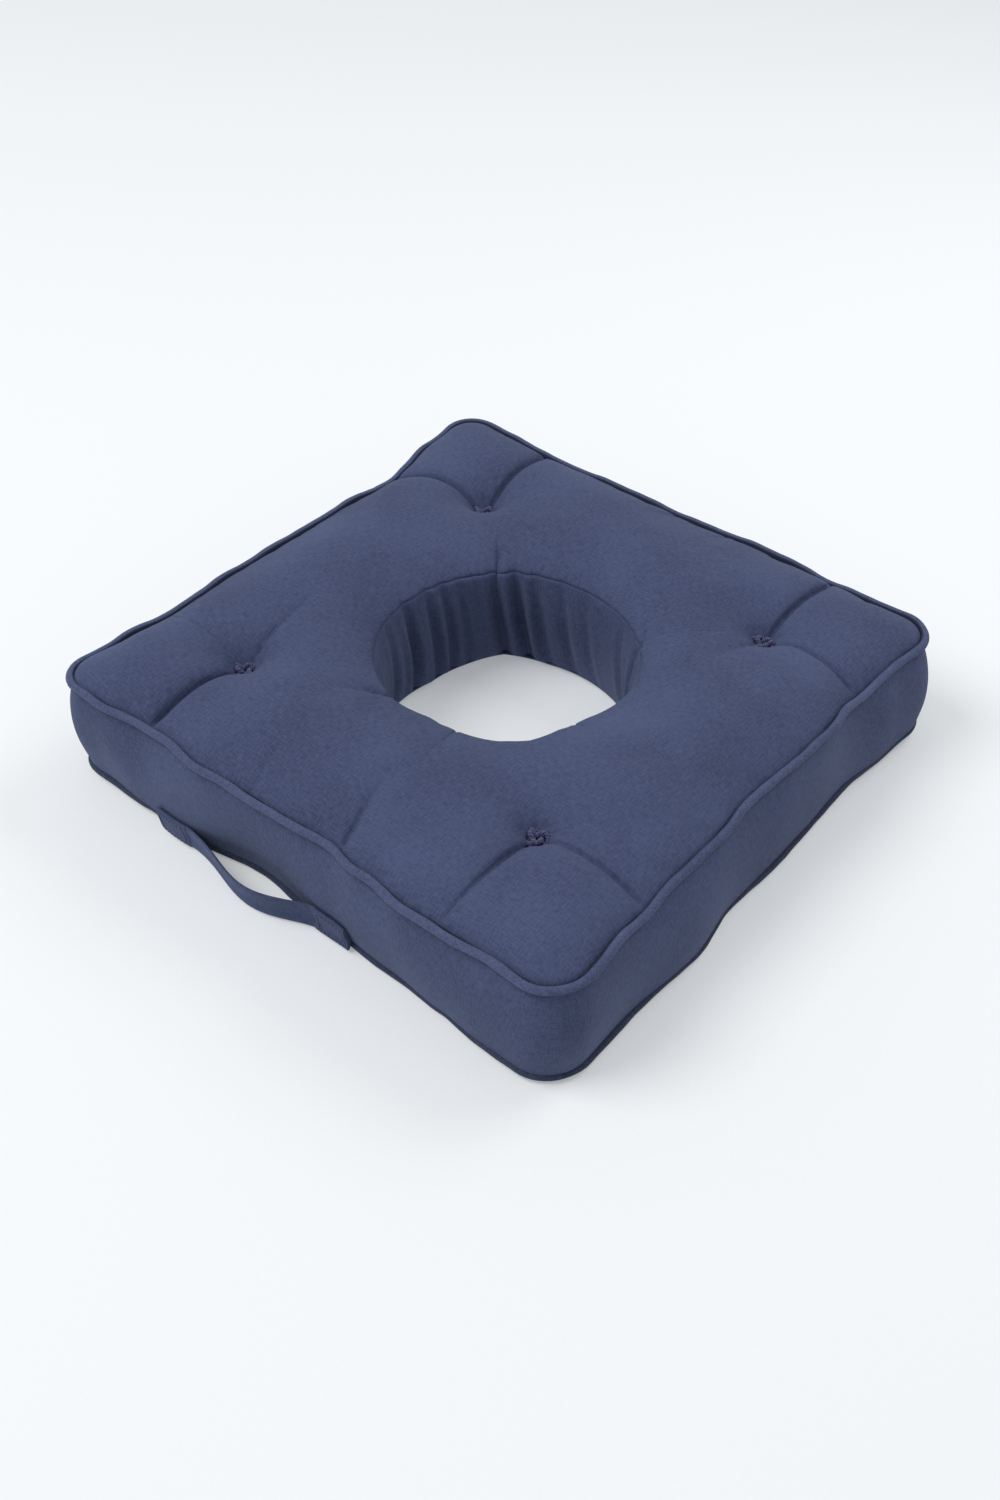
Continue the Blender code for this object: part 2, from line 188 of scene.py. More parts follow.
# %% Fold lines
FOLD_RUN = 0.015  # how far from its line a fold reaches
SLIT_REACH = 0.0010  # half the width of the sharp line in its bottom
KNOT_FOLDS = {  # by side and by the knot's end of it: depth at the knot, and at the seam
    ("back", -1): (0.0085, 0.0070),
    ("back", 1): (0.0090, 0.0060),
    ("left", -1): (0.0030, 0.0000),
    ("left", 1): (0.0080, 0.0085),
    ("front", -1): (0.0090, 0.0095),
    ("front", 1): (0.0090, 0.0014),
    ("right", -1): (0.0040, 0.0040),
    ("right", 1): (0.0040, 0.0048),
}
LOOSE_FOLDS = (  # where each starts and ends, and its depth there
    ((0.040, -PIPE_LINE), (0.027, -0.138), 0.0065, 0.0),
    ((-0.030, -PIPE_LINE), (-0.042, -0.158), 0.0024, 0.0),
    ((-0.004, PIPE_LINE), (-0.022, 0.174), 0.0036, 0.0),
    ((0.036, PIPE_LINE), (0.030, 0.176), 0.0034, 0.0),
    ((0.150, PIPE_LINE), (0.140, 0.180), 0.0024, 0.0),
    ((0.074, PIPE_LINE), (0.070, 0.184), 0.0018, 0.0),
    ((-0.004, -PIPE_LINE), (-0.008, -0.184), 0.0016, 0.0),
    ((-TUFT_AT, -TUFT_AT), (-0.127, -0.036), 0.0070, 0.0),
    ((TUFT_AT, TUFT_AT), (0.114, 0.066), 0.0060, 0.0),
    ((-0.029, -0.083), (-0.056, -0.114), 0.0075, 0.0),
    ((-0.060, 0.062), (-0.078, 0.086), 0.0060, 0.0),
    ((0.060, 0.062), (0.050, 0.104), 0.0055, 0.0),
    ((0.026, -0.082), (0.036, -0.112), 0.0030, 0.0),
    ((0.080, -0.030), (0.108, -0.042), 0.0034, 0.0),
)


def all_folds():
    """Every fold as two ends of its line, and its depth at each."""
    for quarter, side in enumerate(SIDES):
        for end in (-1, 1):
            start = turned(end * TUFT_AT, TUFT_AT, quarter)
            stop = turned(end * TUFT_AT, PIPE_LINE, quarter)
            sign = start[0] if side in ("front", "back") else start[1]
            yield start, stop, *KNOT_FOLDS[side, int(math.copysign(1, sign))]
    yield from LOOSE_FOLDS


def fold_frame(x, y, start, stop):
    """How far along a fold each point lies, from 0 to 1, how far off its line, and how far past
    either of its ends."""
    run = np.array(stop) - np.array(start)
    length = np.linalg.norm(run)
    ahead = ((x - start[0]) * run[0] + (y - start[1]) * run[1]) / length
    off = np.abs((x - start[0]) * run[1] - (y - start[1]) * run[0]) / length
    past = np.maximum(-ahead, ahead - length).clip(0)
    return (ahead / length).clip(0, 1), off, past


def fold_pull(x, y, profile):
    """How far the folds pull each plan point down, with this profile across a fold."""
    pull = np.zeros_like(x)
    for start, stop, first, last in all_folds():
        share, off, past = fold_frame(x, y, start, stop)
        depth = first + (last - first) * share
        pull = np.maximum(pull, depth * profile(off) * np.exp(-past / 0.003))
    return pull


def arch(distance, run):
    """0 at the seam, rising steeply and rounding off to 1 after a run."""
    share = np.clip(distance / run, 0, 1)
    return np.sqrt(share * (2 - share))


def valley(off):
    """Two pillows that meet at a line."""
    return 1 - arch(off, FOLD_RUN)


def slit_profile(off):
    return np.exp(-off / SLIT_REACH)


print(len(list(all_folds())), "folds")

# %% [markdown]
# ## Heights of the cover before it is blown up
# The stuffed cover starts as a soft crown, with a pit at each knot and a valley along each fold.
# Cloth simulation then blows it up between the lines that thread holds down, which gives each
# pillow its own natural shape. The crown rises more gently from the hole than from the knots.

# %% Height functions
SEAM_Z = PIPE_Z - 0.0002
UNDER_SEAM_Z = PIPE_R - 0.0010
RIM_Z = PIPE_Z + 0.0015  # the hole's seam
CROWN_RUN = 0.045  # distance from an outer seam over which the top rises
HOLE_RUN = 0.036  # and from the hole's seam
CROWN_SLACK = 0.002  # left for the cloth to rise as it is blown up
PIT_REACH = 0.011


def edge_distance(x, y):
    """Distance in from the piping's middle line."""
    inner = PIPE_LINE - CORNER_R
    u, v = np.abs(x) - inner, np.abs(y) - inner
    outside = np.hypot(np.maximum(u, 0), np.maximum(v, 0))
    return CORNER_R - outside - np.minimum(np.maximum(u, v), 0)


def knot_distance(x, y):
    return np.hypot(np.abs(x) - TUFT_AT, np.abs(y) - TUFT_AT)


def crown(x, y):
    flat = CROWN_Z - CROWN_SLACK
    from_edge = SEAM_Z + (flat - SEAM_Z) * arch(edge_distance(x, y), CROWN_RUN) ** 1.25
    from_hole = RIM_Z + (flat - RIM_Z) * arch(np.hypot(x, y) - HOLE_R, HOLE_RUN) ** 1.5
    return np.minimum(from_edge, from_hole)


def top_height(x, y):
    near = np.minimum(edge_distance(x, y), np.hypot(x, y) - HOLE_R)
    folded = crown(x, y) - fold_pull(x, y, valley) * np.clip(near / 0.010, 0, 1)
    pit = np.exp(-np.maximum(knot_distance(x, y) - 0.004, 0) / PIT_REACH)
    return folded + (TUFT_Z - folded) * pit


def under_height(x, y):
    """The lower panel lies on the floor, but for its knots and its seams."""
    near = np.minimum(np.hypot(x, y) - HOLE_R, edge_distance(x, y))
    seam = UNDER_SEAM_Z * (1 - np.clip(near / 0.008, 0, 1)) ** 2
    pit = UNDER_TUFT_Z * np.exp(-np.maximum(knot_distance(x, y) - 0.006, 0) / 0.008)
    return 0.0006 + np.maximum(seam, pit)


# %% [markdown]
# ## One closed cover
# The patches are turned four times and joined, then the band and the hole's lining close the
# shape. Every face remembers which cloth it belongs to, so the closed form that is simulated can
# be taken apart along its seams afterwards, as it was sewn.

# %% Build the closed cover
CLOTHS = ("top", "side", "hole", "under")
WALL_SWELL = 0.0045  # how far a wall stands out half way down


def wall_rows(x, y, out_x, out_y, low, high):
    """Rows of a wall from high to low, swelling along an outward direction half way down."""
    share = np.linspace(0, 1, BAND_STEPS + 1)[:, None]
    bulge = WALL_SWELL * np.sin(np.pi * share)
    return x + out_x * bulge, y + out_y * bulge, high + (low - high) * share


class Grid:
    """Quads gathered patch by patch; points that fall together are joined at the end."""

    def __init__(self):
        self.points, self.quads, self.cloth, self.count = [], [], [], 0

    def add(self, x, y, z, cloth):
        x, y, z = np.broadcast_arrays(x, y, z)
        index = np.arange(x.size).reshape(x.shape) + self.count
        quads = np.stack([index[:-1, :-1], index[:-1, 1:], index[1:, 1:], index[1:, :-1]], -1)
        self.points.append(np.stack([x, y, z], -1).reshape(-1, 3))
        self.quads.append(quads.reshape(-1, 4))
        self.cloth += [CLOTHS.index(cloth)] * quads.shape[0] * quads.shape[1]
        self.count += x.size

    def joined(self):
        points = np.concatenate(self.points)
        _, first, index = np.unique(
            np.round(points, 6), axis=0, return_index=True, return_inverse=True
        )
        return points[first], index.reshape(-1)[np.concatenate(self.quads)], self.cloth


def closed_cover():
    grid = Grid()
    for quarter in range(4):
        ring, strip, corner = quarter_patches(quarter)
        for x, y in (ring, strip, corner):
            tx, ty = turned(x, y, quarter)
            grid.add(tx, ty, top_height(tx, ty), "top")
            grid.add(tx, ty, under_height(tx, ty), "under")
        rim_x, rim_y = turned(ring[0][0], ring[1][0], quarter)
        low, high = under_height(rim_x, rim_y), top_height(rim_x, rim_y)
        inward = (-rim_x / HOLE_R, -rim_y / HOLE_R)
        grid.add(*wall_rows(rim_x, rim_y, *inward, low, high), "hole")
        for x, y in edge_runs(strip, corner):
            ex, ey = turned(x, y, quarter)
            low, high = under_height(ex, ey), top_height(ex, ey)
            grid.add(*wall_rows(ex, ey, *edge_normal(ex, ey), low, high), "side")
    return grid.joined()


def edge_runs(strip, corner):
    """The outer edge of a quarter, as its strip's edge and the two edges of its corner."""
    yield strip[0][-1], strip[1][-1]
    yield corner[0][-1], corner[1][-1]
    yield corner[0][:, -1], corner[1][:, -1]


def edge_normal(x, y):
    inner = PIPE_LINE - CORNER_R
    u = np.sign(x) * np.maximum(np.abs(x) - inner, 0)
    v = np.sign(y) * np.maximum(np.abs(y) - inner, 0)
    length = np.hypot(u, v).clip(1e-9)
    return u / length, v / length


def new_mesh(name, points, faces):
    mesh = bpy.data.meshes.new(name)
    mesh.from_pydata([tuple(p) for p in points], [], [tuple(int(i) for i in f) for f in faces])
    mesh.update()
    obj = bpy.data.objects.new(name, mesh)
    bpy.context.collection.objects.link(obj)
    return obj


points, quads, cloth = closed_cover()
body = new_mesh("cover_form", points, quads)
body.data.attributes.new("cloth", "INT", "FACE").data.foreach_set("value", cloth)
bm = bmesh.new()
bm.from_mesh(body.data)
bmesh.ops.recalc_face_normals(bm, faces=bm.faces)
open_edges = sum(not edge.is_manifold for edge in bm.edges)
volume = bm.calc_volume()
bm.to_mesh(body.data)
bm.free()
print("cover", len(points), "points,", open_edges, "open edges,", round(volume * 1000, 2), "litres")

# %% [markdown]
# ## Blow the cover up
# Stuffing pushes cloth out wherever thread doesn't hold it. Cloth simulation with pressure does
# the same. The seams, the knots and the fold lines are pinned, the panel that lies on the floor
# stays flat, and the cloth is cut a little larger than its form so that it puckers.

# %% Simulate the cover
BLOW_FRAMES = 24
BLOW_PRESSURE = 5.0
CLOTH_EXTRA = 0.004  # share by which the cloth is cut too large
MOST_MOVE = 0.014
FULL_HOLD = 0.0065  # a fold this deep is pinned, and a shallower one is held by a spring
ROW_ROUNDS = 240  # of averaging along a wall's rows
SAME = 0.0004  # points nearer than this to a seam lie on it


def vectors(data, key):
    """One vector of each item of a mesh's data, such as its vertices' places."""
    out = np.empty(len(data) * 3, np.float32)
    data.foreach_get(key, out)
    return out.reshape(-1, 3).astype(float)


def coordinates(mesh):
    return vectors(mesh.vertices, "co")


def held_weights(co):
    """1 where thread or the floor holds the cloth, less along the folds, 0 where it is free."""
    x, y, z = co.T
    edge, rim = edge_distance(x, y), np.hypot(x, y) - HOLE_R
    upper = z > PIPE_Z / 2
    weight = np.zeros(len(co))
    for start, stop, first, last in all_folds():
        share, off, past = fold_frame(x, y, start, stop)
        hold = ((first + (last - first) * share) / FULL_HOLD).clip(0, 1)
        on_line = upper & (off < 0.0008) & (past == 0) & (np.minimum(edge, rim) > -0.0001)
        weight = np.where(on_line, np.maximum(weight, hold), weight)
    weight[(knot_distance(x, y) < 0.004) & upper] = 1.0
    weight[~upper & (z < 0.02) & (np.minimum(edge, rim) > -0.001)] = 1.0
    sewn = upper & (np.minimum(np.abs(edge), np.abs(rim)) < SAME)
    weight[sewn & (np.abs(z - top_height(x, y)) < SAME)] = 1.0
    return np.round(weight, 1)


def blow_up(obj, weight):
    """Blows the cloth of a closed mesh out under pressure, and gives back its points."""
    group = obj.vertex_groups.new(name="held")
    for value in np.unique(weight[weight > 0]):
        group.add([int(i) for i in np.flatnonzero(weight == value)], float(value), "REPLACE")
    cloth_modifier = obj.modifiers.new("blow", "CLOTH")
    settings = cloth_modifier.settings
    settings.quality = 5
    settings.mass = 0.25
    settings.tension_stiffness = 25
    settings.compression_stiffness = 15
    settings.shear_stiffness = 8
    settings.bending_stiffness = 0.6
    settings.vertex_group_mass = "held"
    settings.pin_stiffness = 1
    settings.shrink_min = -CLOTH_EXTRA
    settings.use_pressure = True
    settings.uniform_pressure_force = BLOW_PRESSURE
    settings.effector_weights.gravity = 0
    cloth_modifier.collision_settings.use_collision = False
    cloth_modifier.point_cache.frame_end = BLOW_FRAMES
    for step in range(1, BLOW_FRAMES + 1):
        bpy.context.scene.frame_set(step)
    graph = bpy.context.evaluated_depsgraph_get()
    moved = coordinates(obj.evaluated_get(graph).data)
    obj.modifiers.remove(cloth_modifier)
    bpy.context.scene.frame_set(1)
    return moved


def evened(step, quads, cloth):
    """Movements of the two walls averaged along their rows, because where the grid is closer the
    simulated cloth is stiffer."""
    wall = np.zeros(len(step), bool)
    panel = np.zeros(len(step), bool)
    names = np.array(CLOTHS)[np.array(cloth)]
    wall[np.unique(quads[np.isin(names, ("side", "hole"))])] = True
    panel[np.unique(quads[np.isin(names, ("top", "under"))])] = True
    ends = np.array([edge.vertices[:] for edge in body.data.edges])
    rise = np.abs(start[ends[:, 0], 2] - start[ends[:, 1], 2])
    run = np.linalg.norm(start[ends[:, 0], :2] - start[ends[:, 1], :2], axis=1)
    ends = ends[(wall & ~panel)[ends].all(1) & (rise < run)]
    first, second = np.concatenate([ends, ends[:, ::-1]]).T
    joined = np.bincount(first, minlength=len(step)).clip(1)[:, None]
    freed = (np.bincount(first, minlength=len(step)) > 0)[:, None]
    for _ in range(ROW_ROUNDS):
        around = np.stack([np.bincount(first, step[second, k], len(step)) for k in range(3)], -1)
        step = np.where(freed, step / 2 + around / joined / 2, step)
    return step


start = coordinates(body.data)
settled = start.copy()
moved = blow_up(body, held_weights(start))
step = evened(moved - start, quads, cloth)
reach = np.linalg.norm(step, axis=1)
settled = start + step * np.minimum(1, MOST_MOVE / reach.clip(1e-9))[:, None]
print("cloth moved at most", round(reach.max() * 1000, 1), "mm")
body.data.vertices.foreach_set("co", settled.astype(np.float32).ravel())
body.data.update()

# %% [markdown]
# ## Shape what is too fine to simulate
# One subdivision rounds the cloth. Then come the shapes that are finer than the simulated grid:
# the sharp line at the bottom of each fold, the groove where two cloths are sewn, and the upright
# pleats of the hole's lining, which is longer round than the opening that it is sewn into.

# %% Subdivide the form
def select_only(obj):
    bpy.ops.object.select_all(action="DESELECT")
    obj.select_set(True)
    bpy.context.view_layer.objects.active = obj


def apply_all(obj):
    """Applies an object's modifiers in order."""
    select_only(obj)
    for modifier in list(obj.modifiers):
        bpy.ops.object.modifier_apply(modifier=modifier.name)


coarse_points = len(body.data.vertices)
coarse_quads = [tuple(polygon.vertices) for polygon in body.data.polygons]
smooth = body.modifiers.new("smooth", "SUBSURF")
smooth.levels = smooth.render_levels = 1
apply_all(body)
face_cloth = np.empty(len(body.data.polygons), np.int32)
body.data.attributes["cloth"].data.foreach_get("value", face_cloth)
print("form", len(body.data.vertices), "points", np.bincount(face_cloth), "faces in each cloth")

# %% Sharpen folds and seams, and pleat the hole
SLIT_SHARE = 0.4  # of a fold's depth
SEAM_GROOVE = {"outer": (0.0010, 0.0020), "hole": (0.0007, 0.0010)}  # depth and reach
PLEATS = {  # degrees round the hole from +X: depth in mm
    20: 2.0, 46: 5.0, 64: 2.0, 90: 1.5, 103: 2.5, 116: 3.0, 126: 8.0,
    136: 7.0, 153: 3.0, 161: 4.5, 170: 4.5, 184: 5.5, 201: 2.5, 226: 2.0,
    251: 3.5, 280: 2.0, 305: 2.5, 335: 2.0,
}
PLEAT_WIDTH = 2.4  # degrees
PLEAT_SLANT = 7.0  # degrees from the top to the floor
FILL_GAP = 0.0034  # from the outside of the cloth to the stuffing
SEAM_GAP, SEAM_GAP_REACH = 0.0030, 0.0070  # and more beside a seam
HOLE_FOOT = {  # degrees round the hole: how far out its lower edge lies, in mm
    0: 0.0, 45: 0.0, 85: 4.0, 110: 7.0, 130: 14.0, 148: 5.0, 168: -2.0, 195: 0.0,
    230: 2.0, 270: 2.0, 315: 2.0, 360: 0.0,
}
HOLE_RIM = {  # the same for its upper edge
    0: -3.0, 20: 0.0, 105: 0.0, 125: 1.5, 140: 0.0, 255: 0.0, 272: -5.0, 286: -3.0, 300: 0.0,
    318: 0.0, 332: -5.0, 346: -6.0, 360: -3.0,
}


def seam_points(faces, face_cloth, points):
    """Points where faces of two cloths meet."""
    seen = np.zeros((points, len(CLOTHS)), bool)
    for cloth_index in range(len(CLOTHS)):
        seen[np.unique(faces[face_cloth == cloth_index]), cloth_index] = True
    return np.flatnonzero(seen.sum(1) > 1)


def distance_to(co, marked):
    """Distance from each point to the nearest marked one."""
    tree = KDTree(len(marked))
    for index in marked:
        tree.insert(co[index], int(index))
    tree.balance()
    return np.array([tree.find(point)[2] for point in co])


def pleat_depth(x, y, height, width=PLEAT_WIDTH, shoulder_share=0.35):
    """How far out the pleats carry the lining at each bearing round the hole."""
    degrees = (np.degrees(np.arctan2(y, x)) + PLEAT_SLANT * (1 - height)) % 360
    out = np.zeros_like(x)
    for centre, depth in PLEATS.items():
        away = np.abs((degrees - centre + 180) % 360 - 180)
        groove = np.exp(-((away / width) ** 2))
        shoulder = np.exp(-(((away - 2 * width) / width) ** 2))
        out += depth / 1000 * (groove - shoulder_share * shoulder)
    return out


co = coordinates(body.data)
faces = np.array([polygon.vertices[:] for polygon in body.data.polygons])
seams = seam_points(faces, face_cloth, len(co))
x, y, z = co.T.copy()
radius = np.hypot(x, y)
upper = np.clip((z - PIPE_Z * 0.7) / 0.01, 0, 1)
off_seam = np.clip(edge_distance(x, y) / 0.005, 0, 1)
slit = SLIT_SHARE * fold_pull(x, y, slit_profile) * upper * off_seam
groove, seam_gap = np.zeros(len(co)), np.zeros(len(co))
round_hole = radius[seams] < TUFT_AT
for place, marked in (("outer", seams[~round_hole]), ("hole", seams[round_hole])):
    depth, reach = SEAM_GROOVE[place]
    to_seam = distance_to(co, marked)
    groove += depth * np.exp(-((to_seam / reach) ** 2))
    seam_gap += SEAM_GAP * np.exp(-((to_seam / SEAM_GAP_REACH) ** 2))
outwards = vectors(body.data.vertex_normals, "vector")
stuffed = co - outwards * (FILL_GAP + seam_gap + slit + groove)[:, None]
co = co - outwards * (slit + groove)[:, None]

lining = np.zeros(len(co), bool)
lining[np.unique(faces[face_cloth == CLOTHS.index("hole")])] = True
height = np.clip(z / RIM_Z, 0, 1)
wave = np.where(lining, 0.2 + 0.8 * np.sin(np.pi * height ** 0.75), 0.2 * (height > 0.5))
near_hole = np.exp(-np.maximum(radius - HOLE_R, 0) / 0.008)
bearing_round = np.degrees(np.arctan2(y, x)) % 360
lower_edge = np.interp(bearing_round, list(HOLE_FOOT), list(HOLE_FOOT.values())) / 1000
upper_edge = np.interp(bearing_round, list(HOLE_RIM), list(HOLE_RIM.values())) / 1000
shaped = lower_edge * (1 - height) ** 1.2 * np.exp(-np.maximum(radius - HOLE_R, 0) / 0.02)
shaped += upper_edge * height ** 1.2 * np.exp(-((radius - HOLE_R).clip(0) / 0.032) ** 2)
push = shaped + pleat_depth(x, y, height) * wave * near_hole
wide_pleats = pleat_depth(x, y, height, 3 * PLEAT_WIDTH, 0)
stuffing_push = shaped + wide_pleats * np.maximum(wave, 0.4) * near_hole
for moving, amount in ((co, push), (stuffed, stuffing_push)):
    moving[:, 0] += x / radius * amount
    moving[:, 1] += y / radius * amount
print("deepest slit", round(slit.max() * 1000, 1), "mm,", len(seams), "points on seams")

# %% [markdown]
# ## The lie of the whole cushion
# Nothing sewn and stuffed stays square. The seams wander out and in, most of all at the corners
# and folds, two corners ride high and two low, and the strap draws the band in behind it. Tables
# hold how far each seam lies out along each side, and the same warp is used on every piece, so
# that they keep their fit.

# %% Warp everything alike
CORNER_LIFT = {  # of the upper seam, and of the lower one
    (-1, -1): (0.0034, 0.0045),
    (-1, 1): (0.0110, 0.0040),
    (1, 1): (-0.0037, 0.0065),
    (1, -1): (-0.0078, 0.0),
}
SEAM_OUT = {  # how far out the upper seam lies at each place along a side, both in mm
    "front": {
        -200: 11, -160: 8.5, -124: 1.5, -70: 9.5, -20: 6.5, 30: 3.5, 60: 9.5, 95: 12.5,
        150: 10.5, 200: 10.5,
    },
    "back": {-200: 7.5, -160: 4.5, -122: 4.5, -70: 6.5, 0: 8, 60: 12.5, 122: 13, 150: 11, 200: 11},
    "left": {
        -200: 7.5, -150: 2.5, -115: -1, -50: 2.5, 40: 0, 80: -3.5, 98: -3, 118: -1, 150: 6, 200: 10,
    },
    "right": {-200: 8, -125: 1.5, -60: 1.5, -8: -1.5, 30: 2.5, 60: 2, 110: -3, 150: 1, 200: 7},
}
FOOT_OUT = {  # the same for the lower seam, which is drawn in behind the strap
    "front": {
        -200: 4, -170: 0, -140: 3, -108: 5.5, -36: -6.5, 32: 3, 80: 6, 120: 10.5, 150: 14, 200: 15.5,
    },
    "back": {-200: 6, 0: 3, 200: 16},
    "left": {-200: 14, -120: 2, 120: 1, 200: 8},
    "right": {-200: 10.5, -140: 8, -80: 13.5, -30: 6, 10: 6, 50: 5, 100: 2.5, 150: 9.5, 200: 14},
}
SEAM_DIPS = {  # where a fold draws the piping down, and how far
    "back": ((-0.122, 0.0018), (0.120, 0.0010), (0.014, 0.0010)),
    "left": ((-0.120, 0.0010), (0.100, 0.0048)),
    "front": ((-0.124, 0.0048), (0.030, 0.0024)),
    "right": ((-0.120, 0.0048), (0.115, 0.0050)),
}
SEAM_DRIFT = {  # where a fold's end slides along its seam, and how far
    "back": (-0.120, -0.006),
    "left": (0.120, -0.018),
    "front": (-0.120, -0.004),
    "right": (0.120, -0.006),
}
DIP_REACH, DRIFT_REACH, KNOT_REACH = 0.021, 0.036, 0.022


def eased(at, table):
    """Smooth values between a table's places, level at each of them."""
    places, values = np.array(list(table)) / 1000, np.array(list(table.values())) / 1000
    index = (np.searchsorted(places, at) - 1).clip(0, len(places) - 2)
    share = ((at - places[index]) / (places[index + 1] - places[index])).clip(0, 1)
    return values[index] + (values[index + 1] - values[index]) * share * share * (3 - 2 * share)


def dressed(co):
    """Points of the even cushion moved to where they lie in the real one, in the frame's place."""
    x, y, z = np.asarray(co, float).T
    share = np.clip(z / PIPE_Z, 0, 1)
    lift = np.zeros_like(x)
    for corner, (upper_lift, lower_lift) in CORNER_LIFT.items():
        near = ((1 + corner[0] * x / HALF) / 2).clip(0) * ((1 + corner[1] * y / HALF) / 2).clip(0)
        lift += upper_lift * near ** 2 * share + lower_lift * near ** 10 * (1 - share)
    loose = 1 - np.exp(-((knot_distance(x, y) / KNOT_REACH) ** 2))
    lift *= loose
    place = [x.copy(), y.copy()]
    for axis, sides in ((0, ("left", "right")), (1, ("front", "back"))):
        u, v = (x, y) if axis == 0 else (y, x)
        edge = (np.abs(u) / HALF).clip(0, 1) ** 6 * loose
        for side, here in zip(sides, (u < 0, u > 0)):
            fold_end, drift = SEAM_DRIFT[side]
            slide = drift * np.exp(-(((v - fold_end) / DRIFT_REACH) ** 2))
            along = v + slide
            out = eased(along, SEAM_OUT[side]) * share + eased(along, FOOT_OUT[side]) * (1 - share)
            place[axis] += np.sign(u) * edge * out * here
            place[1 - axis] += slide * edge * here * share
            for centre, amount in SEAM_DIPS[side]:
                dip = np.exp(-(((along - centre) / DIP_REACH) ** 2))
                lift -= share * amount * edge * here * dip
    return np.stack([place[0] + MIDDLE.x, place[1] + MIDDLE.y, z + lift], -1)


final = dressed(co)
print("cover spans", np.round((final.max(0) - final.min(0)) * 1000, 1), "mm")

# %% [markdown]
# ## Cut the form into its cloths
# The real cover is four pieces of cloth sewn edge to edge. The form is cut along its seams, and
# each piece gets its thickness inwards, and a flat pattern of its own in metres, so that
# the threads of the weave run along its edges.

# %% Cloth pieces
CLOTH_THICK = 0.0012
PIECES = {  # by cloth: the piece's name, and the node that it stands for
    "top": ("top_cloth", "top_panel"),
    "side": ("side_cloth", "side_band"),
    "hole": ("hole_lining", "hole_band"),
    "under": ("under_cloth", "bottom_panel"),
}


def flat_pattern(cloth_name, co):
    """Where each point lies on its flat cloth: along and up a wall, or just the plan of a panel."""
    x, y, z = (co - np.array(MIDDLE)).T
    if cloth_name in ("top", "under"):
        return np.stack([x, y], -1)
    if cloth_name == "hole":
        return np.stack([np.arctan2(y, x) * HOLE_R, z], -1)
    facing_x = np.abs(x) > np.abs(y)
    return np.stack([np.where(facing_x, y, x), z], -1)


def add_uv(obj, flat):
    layer = obj.data.uv_layers.new(name="weave")
    index = np.empty(len(obj.data.loops), np.int32)
    obj.data.loops.foreach_get("vertex_index", index)
    layer.data.foreach_set("uv", flat[index].astype(np.float32).ravel())


def cut_out(cloth_name):
    name, panel = PIECES[cloth_name]
    own = faces[face_cloth == CLOTHS.index(cloth_name)]
    used, index = np.unique(own, return_inverse=True)
    piece = new_mesh(name, final[used], index.reshape(own.shape))
    add_uv(piece, flat_pattern(cloth_name, final[used]))
    thick = piece.modifiers.new("thick", "SOLIDIFY")
    thick.thickness = CLOTH_THICK
    thick.offset = -1
    apply_all(piece)
    piece.data.shade_smooth()
    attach(piece, "cushion")
    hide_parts(panel)
    print(piece.name, len(piece.data.polygons), "faces")
    return piece


cloth_pieces = {cloth_name: cut_out(cloth_name) for cloth_name in CLOTHS}

# %% [markdown]
# ## Stuffing
# The filling is the same form as the cover, shrunk inwards by the cloth's thickness and a little
# more. It doesn't fill the narrow pleats of the hole's lining.

# %% Fibre filling
filling = new_mesh("fibre_stuffing", dressed(stuffed[:coarse_points]), coarse_quads)
filling.data.shade_smooth()
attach(filling, "cushion")
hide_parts("fibre_filling")
bpy.data.objects.remove(body)
print(filling.name, len(filling.data.polygons), "faces")

# %% [markdown]
# ## Piping
# A cord wrapped in a strip of the cover's cloth is sewn into each outer seam. It is stiffer than
# the cloth, so it bridges small dips and only follows the big ones, and its wrapping puckers a
# little where it is sewn.

# %% Piping along the seams
PIPE_POINTS, PIPE_SIDES = 560, 16
CORD_POINTS, CORD_SIDES = 280, 8
CORD_LAY = 0.012  # the cord's strands go round once in this length
PIPE_OUT = 0.0010  # the cord stands this much proud of its seam
COVERED_R = 0.0029  # pressed a little by the stitching
CORD_R = 0.0018


def outline(half, radius, count):
    """Even points round a square with rounded corners, and the outward direction at each."""
    turns = np.linspace(0, np.pi / 2, 33)
    centre = half - radius
    dense, facing = [], []
    for quarter in range(4):
        arc_x, arc_y = centre + radius * np.cos(turns), centre + radius * np.sin(turns)
        dense.append(np.stack(turned(arc_x, arc_y, quarter), -1))
        facing.append(np.stack(turned(np.cos(turns), np.sin(turns), quarter), -1))
    dense, facing = np.concatenate(dense), np.concatenate(facing)
    dense, facing = np.vstack([dense, dense[:1]]), np.vstack([facing, facing[:1]])
    reached = np.concatenate([[0], np.cumsum(np.linalg.norm(np.diff(dense, axis=0), axis=1))])
    at = np.linspace(0, reached[-1], count, endpoint=False)
    point = np.stack([np.interp(at, reached, dense[:, i]) for i in (0, 1)], -1)
    out = np.stack([np.interp(at, reached, facing[:, i]) for i in (0, 1)], -1)
    return point, out / np.linalg.norm(out, axis=1, keepdims=True), at


def wander(at, length, *waves):
    """A closed line's small irregularity, as sines of (size, turns round, start)."""
    return sum(
        size * np.sin(2 * np.pi * turns * at / length + start) for size, turns, start in waves
    )


